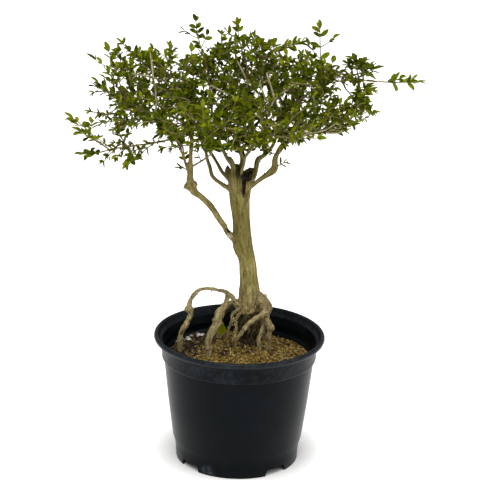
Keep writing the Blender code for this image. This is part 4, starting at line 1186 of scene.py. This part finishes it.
foliage = {
    "twigSides": 6,
    "pairGap": 0.0056,
    "leafLength": 0.0086,
    "innerSize": 0.80,
    "trim": 0.86,
    "yellowShare": 0.006,
    "yellowTints": (0.975, 0.999),
    "tints": (0.24, 0.20, 0.16, 0.30),
    "pairSpread": 54,
    "tuftSpread": (26, 52),
    "mainTwig": (0.00072, 0.009),
    "sideTwig": (0.00055, 0.005),
    "extraTwig": (0.0005, 0.004),
    "elbowTwig": (0.0006, 0.004),
    "bareRadii": (0.0011, 0.0007),
    "airySprays": {1: 0.4, 2: 0.45, 3: 0.45, 4: 0.85, 6: 0.7, 12: 0.75, 17: 0.85, 21: 0.45, 5: 0.6},
    "sprayTrims": {4: 0.78, 12: 0.76},
    "extraTwigs": ((0.18, 1.1), (0.42, -2.0), (0.68, 0.6), (0.84, 2.6)),
    "paleSprays": {1: 0.22, 2: 0.10, 21: 0.05},
    "bigLeaved": (19, 20, 21, 22),
    "bigSize": 1.28,
    "airySize": 1.1,
    "darkSprays": {19: 0.28, 20: 0.14, 12: 0.14, 5: 0.12, 4: 0.08},
    "lobes": mm(
        ((-6, 4, 354), (118, 92, 44)), ((-112, -10, 345), (30, 45, 34)), ((-105, 5, 392), (28, 40, 22)),
        ((-8, 10, 405), (40, 45, 22)), ((88, 0, 360), (30, 50, 30)), ((45, 6, 388), (36, 50, 21)),
        ((100, 0, 383), (18, 30, 14)),
    ),
    "lowTips": mm(
        (-125, -28, 310.5), (-116, -34, 309), (-106.5, -36, 303.5), (-103.5, -20, 311.5), (-94.5, -30, 310.5),
        (-134, -20, 322), (-117.5, -36, 323), (-109, -15, 314), (-74, -28, 317), (-88, -30, 322),
        (-66, -22, 315), (-128, -30, 304),
    ),
    "lobePower": 2.6,
    "lean": 0.245,
    "ceiling": mm(
        (-134, 370), (-127, 378), (-120, 402), (-108, 405), (-93, 399), (-83, 398), (-74, 379), (-65, 388),
        (-57, 398), (-46, 400), (-36, 412), (-24, 422), (-10, 410), (-3, 406), (4, 413), (14, 413), (22, 403),
        (34, 399), (45, 402), (60, 403), (73, 392), (83, 388), (96, 395), (116, 392),
    ),
    "ground": mm(
        (-134, 334), (-117, 322), (-105, 322), (-95, 333), (-79, 335), (-70, 323), (-56, 312), (-37, 310),
        (-12, 311), (-3, 318), (9, 320), (18, 308), (32, 315), (46, 321), (60, 327), (73, 333), (92, 333),
        (106, 342),
    ),
    "gaps": mm(((96, 366), (11, 11)), ((-120, 370), (13, 8)), ((-31, 413), (9, 7))),
    "shootSpacing": 0.0120,
    "bareTwigs": mm(
        ((-83, -18, 347), (-80, -34, 360), (-81, -44, 376), (-85.5, -46, 410)),
        ((4, -56, 344), (14, -56, 352), (26.5, -55, 372)),
        ((26.5, -55, 372), (22.5, -55, 384), (18.4, -53, 396)),
        ((26.5, -55, 372), (36, -56, 381), (46.1, -55, 388.5)),
        ((21.5, -55, 366), (16, -54, 377), (12.2, -53, 388)),
        ((-33, 6, 366), (-31, -30, 377), (-22, -48, 377), (-8, -50, 371.5)),
        ((-60, -18, 362), (-71, -42, 372), (-65, -47, 378), (-57, -47, 377)),
        ((-74, -10, 376), (-88, -34, 385), (-102, -40, 389)),
        ((70, -14, 333), (83, -24, 334), (95, -26, 338)),
        ((52, -12, 327), (60, -30, 336), (73, -40, 341), (84, -40, 349)),
        ((3, -10, 372), (0, -30, 385), (-8, -36, 402)), ((-48, -13, 296), (-37, -4, 300.5), (-30, 4, 304)),
    ),
    "elbowShoots": mm(
        ((31.5, -10, 297), (37, -14, 302)), ((-51.5, -14.5, 292.5), (-58, -18, 296)),
        ((-40, -6, 299.5), (-43, -12, 309.5)), ((-32, 1, 303), (-27, -8, 313)),
    ),
    "shootReach": 0.018,
    "shootRadii": (0.0005, 0.00085),
    "leafyLength": 0.016,
    "seed": 20,
}
foliageTree = makeFoliageTree()
leafShapes, smallLeafShapes = makeLeafShapes("leaf"), makeLeafShapes("smallLeaf")


def grown(name, skeleton, skin, sides, shapes=leafShapes):
    # The skeleton's mesh with its fields, turned into twigs and leaves by the tree
    leaves = skeleton.leaves
    count, blank = len(skeleton.points), [0.0] * len(leaves)
    verts = [tuple(p) for p in skeleton.points + [leaf[0] for leaf in leaves]]
    turns = [tuple(Matrix((a.cross(f), a, f)).transposed().to_euler()) for _, a, f, *_ in leaves]
    spans = [(wide, long, long) for *_, long, wide, _, _ in leaves]
    fields = (
        ("isLeaf", "BOOLEAN", [False] * count + [True] * len(leaves)),
        ("twigRadius", "FLOAT", skeleton.radii + blank),
        ("rootShare", "FLOAT", skeleton.roots + blank),
        ("hollow", "FLOAT", skeleton.hollows + blank),
        ("grainPlace", "FLOAT_VECTOR", verts),
        ("leafTurn", "FLOAT_VECTOR", [(0, 0, 0)] * count + turns),
        ("leafSize", "FLOAT_VECTOR", [(1, 1, 1)] * count + spans),
        ("tint", "FLOAT", [0.0] * count + [tint for *_, tint, _ in leaves]),
        ("leafShape", "INT", [0] * count + [kind for *_, kind in leaves]),
    )
    made = newObject(name, verts, [], None, skeleton.edges)
    for field in fields:
        setField(made.data, *field)
    withTree(made, foliageTree, Leaf_Shapes=shapes, Twig_Sides=sides, Leaf_Skin=leafSkin, Twig_Skin=skin)
    for spare in ("isLeaf", "twigRadius", "leafTurn", "leafSize", "leafShape"):
        if spare in made.data.attributes:
            made.data.attributes.remove(made.data.attributes[spare])
    print(name, len(leaves), "leaves", len(made.data.polygons), "faces")
    return made


# The crown's plan: where stems, sprays and their first leaves are, by the source's own rules

crown = {
    "outerTips": mm(
        (-157, -20, 341), (-148, -45, 335), (-145, -33, 311), (-103, -50, 309), (-137, 15, 367),
        (-128, 25, 394), (-112, -10, 409), (-124, -40, 390), (-89, 46, 390), (-66, -68, 419), (-53, 80, 384),
        (-47, 10, 428), (-9, 5, 426), (7, -47, 426), (27, 62, 398), (46, -58, 424), (67, 5, 424),
        (83, 74, 378), (98, -20, 402), (115, 32, 384), (157, -5, 380), (108, -34, 372), (114, 16, 346),
        (101, -48, 351),
        (91, -12, 334), (64, -84, 345), (-79, 40, 312), (-30, -44, 322),
    ),
    "innerSprays": 10,
    "middle": (-0.006, 0.006),
    "reach": (0.095, 0.112),
    "lowZ": 0.330,
    "topZ": 0.402,
    "tipSpacing": 0.042,
    "goldenAngle": pi * (3 - sqrt(5)),
    "seed": 20,
    "sprayLength": 0.050,
    "lobes": mm(((-88, 0, 348), (45, 75, 32)), ((-86, 0, 352), (45, 65, 36)), ((-6, 6, 372), (85, 80, 36))),
    "smallSprays": 9,
    "lobeTries": 80,
    "smallSeed": 1,
    "smallLength": 0.026,
    "base": Vector((0, 0.006, 0.300)),
    "stemRadius": 0.0016,
    "stemTipRadius": 0.00085,
    "stemBands": 3,
    "gap": 0.0003,
}


def samplesOf(route):
    places = []
    points = [Vector(p[:3]) for p in route]
    reach = sum((b - a).length for a, b in zip(points, points[1:]))
    gone = 0
    for k in range(len(points) - 1):
        span = points[k + 1] - points[k]
        steps = max(1, round(span.length / 0.004))
        for t in [j / steps for j in range(steps)]:
            if gone + span.length * t < reach - 0.003:
                radius = route[k][3] * (1 - t) + route[k + 1][3] * t
                places.append((points[k] + span * t, span.normalized(), radius))
        gone += span.length
    return places


def sprayTips():
    rng = random.Random(crown["seed"])
    tips = [Vector(p) for p in crown["outerTips"]]
    wanted = len(tips) + crown["innerSprays"]
    k = 0
    while len(tips) < wanted:
        angle = k * crown["goldenAngle"]
        reach = 0.55 + 0.45 * rng.random()
        x = crown["middle"][0] + crown["reach"][0] * reach * cos(angle)
        y = crown["middle"][1] + crown["reach"][1] * reach * sin(angle)
        z = crown["lowZ"] + (crown["topZ"] - crown["lowZ"]) * rng.random()
        tip = Vector((x, y, z))
        if min((tip - other).length for other in tips) > crown["tipSpacing"]:
            tips.append(tip)
        k += 1
    return tips


def stemTo(tip, places, longest):
    # A stem from the nearest wood to where the spray that ends at the tip starts
    def cost(place):
        span = tip - place[0]
        back = max(0, -span.normalized().dot((place[0] - crown["base"]).normalized()))
        return abs(span.length - 0.030) + 0.02 * back + (0.05 if span.length < 0.026 else 0)

    start, ahead, radius = min(places, key=cost)
    span = tip - start
    heading = (span.normalized() + ahead * 0.25 + skyward * 0.1).normalized()
    length = min(longest, span.length - 0.010)
    begin = tip - (span.normalized() * 0.8 + heading * 0.2).normalized() * length
    final = (tip - begin).normalized()
    reach = (begin - start).length
    ends = (start, start + heading * reach * 0.4, begin - final * reach * 0.35, begin)
    thick = min(crown["stemRadius"], radius * 0.85)
    thin = min(crown["stemTipRadius"], thick)
    bands = crown["stemBands"]
    curve = interpolate_bezier(*ends, bands + 1)
    places += samplesOf([(*p, thick + (thin - thick) * k / bands) for k, p in enumerate(curve)])
    return begin, final, tip, interpolate_bezier(*ends, 14), thick, thin


def placeIn(rng, lobe):
    while True:
        share = Vector([rng.uniform(-1, 1) for _ in range(3)])
        if share.length < 1:
            return Vector([m + h * s for m, h, s in zip(*lobe, share)])


def growStems():
    # A stem for each spray, the lowest first, then for the small sprays between them
    places = [p for route in limbRoutes.values() for p in samplesOf(route) if p[0].z > 0.285]
    tips = sprayTips()
    stems, leafy = {}, []

    def grow(i, tip, longest):
        stems[i] = stemTo(tip, places, longest)
        leafy.extend(stems[i][0].lerp(tip, t) for t in (0.2, 0.5, 0.8, 1))

    for i in sorted(range(len(tips)), key=lambda i: (tips[i] - crown["base"]).length):
        grow(i, tips[i], crown["sprayLength"])
    rng = random.Random(crown["smallSeed"])
    for i in range(len(tips), len(tips) + crown["smallSprays"]):
        tries = [placeIn(rng, crown["lobes"][i % 3]) for _ in range(crown["lobeTries"])]
        emptiest = max(tries, key=lambda place: min((place - p).length for p in leafy))
        grow(i, emptiest, crown["smallLength"])
    return stems, places


def hintFor(chord):
    return skyward if abs(chord.normalized().z) < 0.85 else Vector((0.35, -0.9, 0.2)).normalized()


def bezierAt(points, t):
    a, b, c = points
    return a * (1 - t) ** 2 + b * 2 * t * (1 - t) + c * t**2


def axesAt(points, t, hint):
    # Heading, side and up at a place along a twig
    a, b, c = points
    along = ((b - a) * (1 - t) + (c - b) * t).normalized()
    side = hint.cross(along).normalized()
    return along, side, along.cross(side)


def leafPlan(rng, place, along, outward, high, spread, size):
    lean = radians(spread + rng.uniform(-9, 9))
    ahead = (along * cos(lean) + outward * sin(lean) + high * rng.uniform(-0.10, 0.22)).normalized()
    face = high * 0.9 + along * 0.45 + Vector([rng.uniform(-0.35, 0.35) for _ in range(3)])
    face = (face - ahead * face.dot(ahead)).normalized()
    length = size * rng.uniform(0.82, 1.15)
    return (place, ahead, face, length, length * rng.uniform(0.42, 0.5))


def sideTwigPlan(rng, place, along, outward, high, length):
    lean = radians(rng.uniform(42, 60))
    chord = (along * cos(lean) + outward * sin(lean) + high * rng.uniform(-0.05, 0.3)).normalized()
    bend = along * 0.16 + high * rng.uniform(-0.04, 0.12)
    middle = place + chord * length * 0.5 - bend * length * 0.5
    return (place, middle, place + chord * length + bend * length * 0.2)


def leafPair(rng, route, hint, t, spread, size):
    along, side, high = axesAt(route, t, hint)
    return [leafPlan(rng, bezierAt(route, t), along, side * out, high, spread, size) for out in (1, -1)]


def endLeaf(rng, route, hint, t, spread, size):
    # Its side and up are the last pair's
    _, side, high = axesAt(route, t, hint)
    return [leafPlan(rng, route[2], axesAt(route, 1, hint)[0], side, high, spread, size)]


def sprayPlan(begin, final, tip, seed, small):
    # The leaves and twigs that the solid spray has too
    rng = random.Random(seed)
    length = (tip - begin).length
    bow = Vector([rng.uniform(-1, 1) for _ in range(3)]) * length * 0.06
    start = begin + final * crown["gap"]
    main = (start, start + final * length * 0.5 + bow, tip)
    hint = hintFor(tip - start)
    twigs, leaves = [], []
    if small:
        leaves += leafPair(rng, main, hint, 0.38, 52, 0.0100) + leafPair(rng, main, hint, 0.74, 52, 0.0100)
        return main, twigs, leaves + endLeaf(rng, main, hint, 0.74, 6, 0.0105)
    handed = rng.choice((-1, 1))
    for t, way in ((0.30, handed), (0.56, -handed)):
        place = bezierAt(main, t)
        along, side, high = axesAt(main, t, hint)
        twigLength = length * rng.uniform(0.34, 0.46) * (1.15 - 0.5 * t)
        route = sideTwigPlan(rng, place, along, side * way, high, twigLength)
        leaves.append(leafPlan(rng, place, along, -side * way, high, 58, 0.0100))
        sideHint = hintFor(route[2] - route[0])
        leaves += leafPair(rng, route, sideHint, 0.72, 52, 0.0095)
        leaves += endLeaf(rng, route, sideHint, 0.72, 8, 0.0100)
        twigs.append(route)
    leaves += leafPair(rng, main, hint, 0.82, 50, 0.0100)
    return main, twigs, leaves + endLeaf(rng, main, hint, 0.82, 6, 0.0105)


def leafTint(rng, place, young):
    # Young leaves at the tips are lighter, the ones deep in the crown darker, a painted shade
    apart = Vector((place.x / 0.15, place.y / 0.10, (place.z - 0.35) / 0.075)).length
    if rng.random() < foliage["yellowShare"]:
        return rng.uniform(*foliage["yellowTints"])
    least, outer, tip, change = foliage["tints"]
    return least + outer * min(1.0, apart) + tip * young + rng.uniform(-change, change)


def leafyTwig(skeleton, rng, route, radius, firstAt, tone, tuft, size=1.0, skip=0.1):
    # Leaves in crossed pairs along a twig, and a tuft at its end
    length = (route[2] - route[0]).length
    long, spread = foliage["leafLength"] * size, foliage["pairSpread"]
    hint = hintFor(route[2] - route[0])
    count = 7 if length > 0.03 else 5
    points = [bezierAt(route, k / (count - 1)) for k in range(count)]
    skeleton.addTwig(points, tapered(radius, radius * 0.62, count))
    gone = firstAt
    quarter = rng.random() * 1.5
    while gone < length - 0.003:
        t = gone / length
        along, side, high = axesAt(route, t, hint)
        turn = quarter + rng.uniform(-0.35, 0.35)
        outward = side * cos(turn) + high * sin(turn)
        for way in (1, -1):
            if rng.random() > skip:
                leaf = leafPlan(rng, bezierAt(route, t), along, outward * way, high, spread, long)
                skeleton.addLeaf(rng, leaf, leafTint(rng, leaf[0], t) + tone)
        quarter += pi / 2
        gone += foliage["pairGap"] * rng.uniform(0.8, 1.25)
    along, side, high = axesAt(route, 1, hint)
    start = rng.random() * 6.28
    for k in range(tuft):
        turn = start + 2 * pi * k / tuft + rng.uniform(-0.3, 0.3)
        outward = side * cos(turn) + high * sin(turn)
        spread = rng.uniform(*foliage["tuftSpread"])
        leaf = leafPlan(rng, route[2], along, outward, high, spread, long * 0.9)
        skeleton.addLeaf(rng, leaf, leafTint(rng, leaf[0], 1.0) + tone + 0.05)


def makeSprays(stems):
    for i in sorted(stems):
        begin, final, tip = stems[i][:3]
        number, skeleton, rng = i + 1, Skeleton(), random.Random(900 + i)
        small = i >= len(stems) - crown["smallSprays"]
        main, twigs, leaves = sprayPlan(begin, final, tip, crown["seed"] + i, small)
        tone = foliage["paleSprays"].get(number, 0.0) - foliage["darkSprays"].get(number, 0.0)
        tone += rng.uniform(-0.05, 0.05)
        airy = number in foliage["airySprays"]
        skip = foliage["airySprays"].get(number, 0.3)
        trim = foliage["sprayTrims"].get(number, 1.0 if airy else foliage["trim"])
        larger = foliage["airySize"] if airy else 1
        larger = foliage["bigSize"] if number in foliage["bigLeaved"] else larger
        size = rng.uniform(0.88, 1.08) * larger * foliage["sprayTrims"].get(number, 1.0)
        for place, ahead, face, length, width in leaves:
            trimmed = (place, ahead, face, length * trim, width * 0.95)
            skeleton.addLeaf(rng, trimmed, leafTint(rng, place, 0.5) + tone)
        for route, sizes in [(main, foliage["mainTwig"]), *[(twig, foliage["sideTwig"]) for twig in twigs]]:
            leafyTwig(skeleton, rng, route, *sizes, tone, 1 if airy else 2, size, skip)
        for t, turn in () if airy else foliage["extraTwigs"]:
            along, side, high = axesAt(main, t, hintFor(main[2] - main[0]))
            angle = turn + rng.uniform(-0.5, 0.5)
            outward = side * cos(angle) + high * sin(angle)
            length = (tip - begin).length * rng.uniform(0.2, 0.32)
            extra = sideTwigPlan(rng, bezierAt(main, t), along, outward, high, length)
            if withinOutline(extra[2]):
                leafyTwig(skeleton, rng, extra, *foliage["extraTwig"], tone, 3, size, 0.25)
        made = grown(f"leafySpray{number:02d}", skeleton, twigSkin, foliage["twigSides"])
        ride(made, "leaf", f"spray_{number:02d}")


def withinOutline(tip):
    # The crown's top and bottom as the photo shows them, whose sight falls by the lean
    x, high = tip[0], tip[2] + foliage["lean"] * tip[1]
    top, ground = (np.interp(x, *zip(*foliage[k])) for k in ("ceiling", "ground"))
    for (gapX, gapZ), (wide, tall) in foliage["gaps"]:
        if ((x - gapX) / wide) ** 2 + ((high - gapZ) / tall) ** 2 < 1:
            return False
    return ground < high < top


def innerTips(rng):
    # Evenly spaced places that fill the lobes of the crown
    tips = np.empty((0, 3))
    for centre, radii in foliage["lobes"]:
        for _ in range(int(9e6 * radii[0] * radii[1] * radii[2])):
            share = [rng.uniform(-1, 1) for _ in range(3)]
            if sum(abs(s) ** foliage["lobePower"] for s in share) < 1:
                tip = np.array([c + r * s for c, r, s in zip(centre, radii, share)])
                near = len(tips) and np.linalg.norm(tips - tip, axis=1).min() <= foliage["shootSpacing"]
                if withinOutline(tip) and not near:
                    tips = np.vstack((tips, tip))
    return tips


def nearestStart(tip, starts, base):
    # Where a new shoot grows from: about its reach away, and not back towards the trunk
    spans = tip - starts
    lengths = np.linalg.norm(spans, axis=1)
    outwards = (starts - base) / np.linalg.norm(starts - base, axis=1)[:, None]
    back = np.maximum(0, -np.einsum("ij,ij->i", spans, outwards) / lengths)
    cost = np.abs(lengths - foliage["shootReach"]) + 0.02 * back + 0.05 * (lengths < 0.011)
    return int(np.argmin(cost))


def makeInnerShoots(places):
    # Thin shoots fill the crown, each from the nearest wood or from an earlier shoot
    rng = random.Random(foliage["seed"])
    base = np.array(crown["base"])
    tips = np.vstack((innerTips(rng), foliage["lowTips"]))
    tips = tips[np.argsort(np.linalg.norm(tips - base, axis=1))]
    starts, aheads = (np.array([tuple(p[k]) for p in places if p[0].z > 0.300]) for k in (0, 1))
    groups = {side: Skeleton() for side in ("Left", "Middle", "Right")}

    def groupAt(x):
        return groups["Left" if x < -0.045 else "Middle" if x < 0.03 else "Right"]

    for tip in tips:
        best = nearestStart(tip, starts, base)
        start, ahead, end = Vector(starts[best]), Vector(aheads[best]), Vector(tip)
        length = (end - start).length
        heading = ((end - start).normalized() + ahead * 0.35 + skyward * rng.uniform(-0.1, 0.3)).normalized()
        route = (start, start + heading * length * 0.5, end)
        firstAt = max(0.003, length - foliage["leafyLength"])
        thin, thick = foliage["shootRadii"]
        radius = thin + (thick - thin) * min(1.0, length / 0.035)
        leafyTwig(groupAt(end.x), rng, route, radius, firstAt, -0.04, 4, foliage["innerSize"])
        marks = [t for t in (0.3, 0.5, 0.7) if length * t > 0.004]
        starts = np.vstack((starts, *[tuple(bezierAt(route, t)) for t in marks]))
        aheads = np.vstack((aheads, *[tuple(axesAt(route, t, skyward)[0]) for t in marks]))
    for start, end in foliage["elbowShoots"]:
        route = (Vector(start), (Vector(start) + Vector(end)) / 2 + skyward * 0.001, Vector(end))
        leafyTwig(groupAt(end[0]), rng, route, *foliage["elbowTwig"], -0.16, 3, 1.0)
    for points in foliage["bareTwigs"]:
        curve = curvedRoute([(*p, 0.0012) for p in points], 0.004)
        bent = [p[:3] for p in gnarled(curve, 0.0009, len(curve), 0.0)]
        groupAt(points[-1][0]).addTwig(bent, tapered(*foliage["bareRadii"], len(bent)), 1.0)
    for side, skeleton in groups.items():
        ride(grown("innerShoots" + side, skeleton, twigSkin, 5, smallLeafShapes), "leaf")


def addStems(skeleton, rng, stems):
    for i in sorted(stems):
        points, first, last = stems[i][3:]
        wavy = []
        for k, point in enumerate(points):
            fade = min(1.0, k / 3, (len(points) - 1 - k) / 3)
            push = noise.noise_vector(Vector((i * 1.7, k * 0.45, 2.0)))
            wavy.append(point + push * woodSizes["stemWave"] * fade)
        radii = tapered(first, last * 0.9, len(points))
        skeleton.addTwig(wavy, [r * (1 + 0.12 * rng.uniform(-1, 1)) for r in radii])


def addSpurs(skeleton, rng, runs):
    # Short ends where twigs broke off
    spots = [(f, kind) for run, kind in runs[1:] for f in run if f[0].z > soilHeight(f[0].x, f[0].y) + 0.004]
    for _ in range(woodSizes["spurs"]):
        (here, ahead, side, other, _, radius), kind = rng.choice(spots)
        turn = rng.random() * 6.28
        out = side * cos(turn) + other * sin(turn)
        base = here + out * radius * 0.6
        tall = radius + rng.uniform(*woodSizes["spurReach"])
        end = here + out * tall + ahead * rng.uniform(-0.001, 0.002)
        skeleton.addTwig((base, (base + end) / 2, end), woodSizes["spurRadii"], kind)


def addRootlets(skeleton, rng):
    # The thin roots under the trunk, each with a share of painted shade
    midX, midY = woodSizes["rootletPlace"]
    thin, thick, end = woodSizes["rootletRadii"]
    for _ in range(woodSizes["rootlets"]):
        turn = rng.random() * 6.28
        reach, high, spin, low = (rng.uniform(*limits) for limits in woodSizes["rootletRanges"])
        points = []
        for t in [j / 8 for j in range(9)]:
            wide = reach * (0.75 + 0.45 * sin(pi * t)) + rng.uniform(-0.0011, 0.0011)
            x, y = midX + wide * cos(turn + spin * t), midY + wide * sin(turn + spin * t)
            points.append((x, y, high + (low - high) * t))
        radii = tapered(rng.uniform(thin, thick), end, 9)
        skeleton.addTwig(points, radii, 1.0, rng.choice(woodSizes["rootletPaintedShade"]))


def makeStemsAndRootlets(stems, runs):
    skeleton, rng = Skeleton(), random.Random(woodSizes["seed"])
    addStems(skeleton, rng, stems)
    addSpurs(skeleton, rng, runs)
    addRootlets(skeleton, rng)
    return grown("stemsAndRootlets", skeleton, barkSkin, 8)


wood, woodRuns = makeWood()
crownStems, woodPlaces = growStems()
ride(joined(wood, makeStemsAndRootlets(crownStems, woodRuns)), "bark", "wood")
print("wood made")

makeSprays(crownStems)
makeInnerShoots(woodPlaces)
print("foliage made")


# The single leaf among the roots, and bits of straw on the soil

rootShoot = {
    "begin": (-0.0112, -0.0008, 0.127),
    "bladeFoot": (-0.0168, -0.0046, 0.1255),
    "tip": (-0.0175, -0.0062, 0.139),
    "width": 0.0076,
    "tint": 0.82,
}


def makeRootShoot():
    skeleton = Skeleton()
    begin, place, tip = (Vector(rootShoot[k]) for k in ("begin", "bladeFoot", "tip"))
    skeleton.addTwig((begin, begin.lerp(place, 0.5), place), [0.0006, 0.0005, 0.0004])
    ahead = (tip - place).normalized()
    face = Vector((0.3, -1, 0.1))
    face = (face - ahead * face.dot(ahead)).normalized()
    leaf = (place, ahead, face, (tip - place).length, rootShoot["width"])
    skeleton.addLeaf(random.Random(3), leaf, rootShoot["tint"])
    ride(grown("leafAmongRoots", skeleton, twigSkin, 6), "leaf", "root_shoot")


def makeStraws():
    # The first of them stands
    skeleton = Skeleton()
    for (x, y), (farX, farY), tall in soilSizes["straws"]:
        low = 0.0009 if tall < 0.002 else -0.001
        begin = Vector((x, y, soilHeight(x, y) + low))
        end = Vector((farX, farY, soilHeight(farX, farY) + tall))
        skeleton.addTwig((begin, begin.lerp(end, 0.5) + skyward * 0.0003, end), [0.0004, 0.00045, 0.00035])
    ride(grown("strawBits", skeleton, strawSkin, 6), "potting_mix")


makeRootShoot()
makeStraws()
for folder in [c for c in bpy.data.collections if c.name.endswith(("Shape", "Shapes"))]:
    removed(*folder.objects)
    bpy.data.collections.remove(folder)
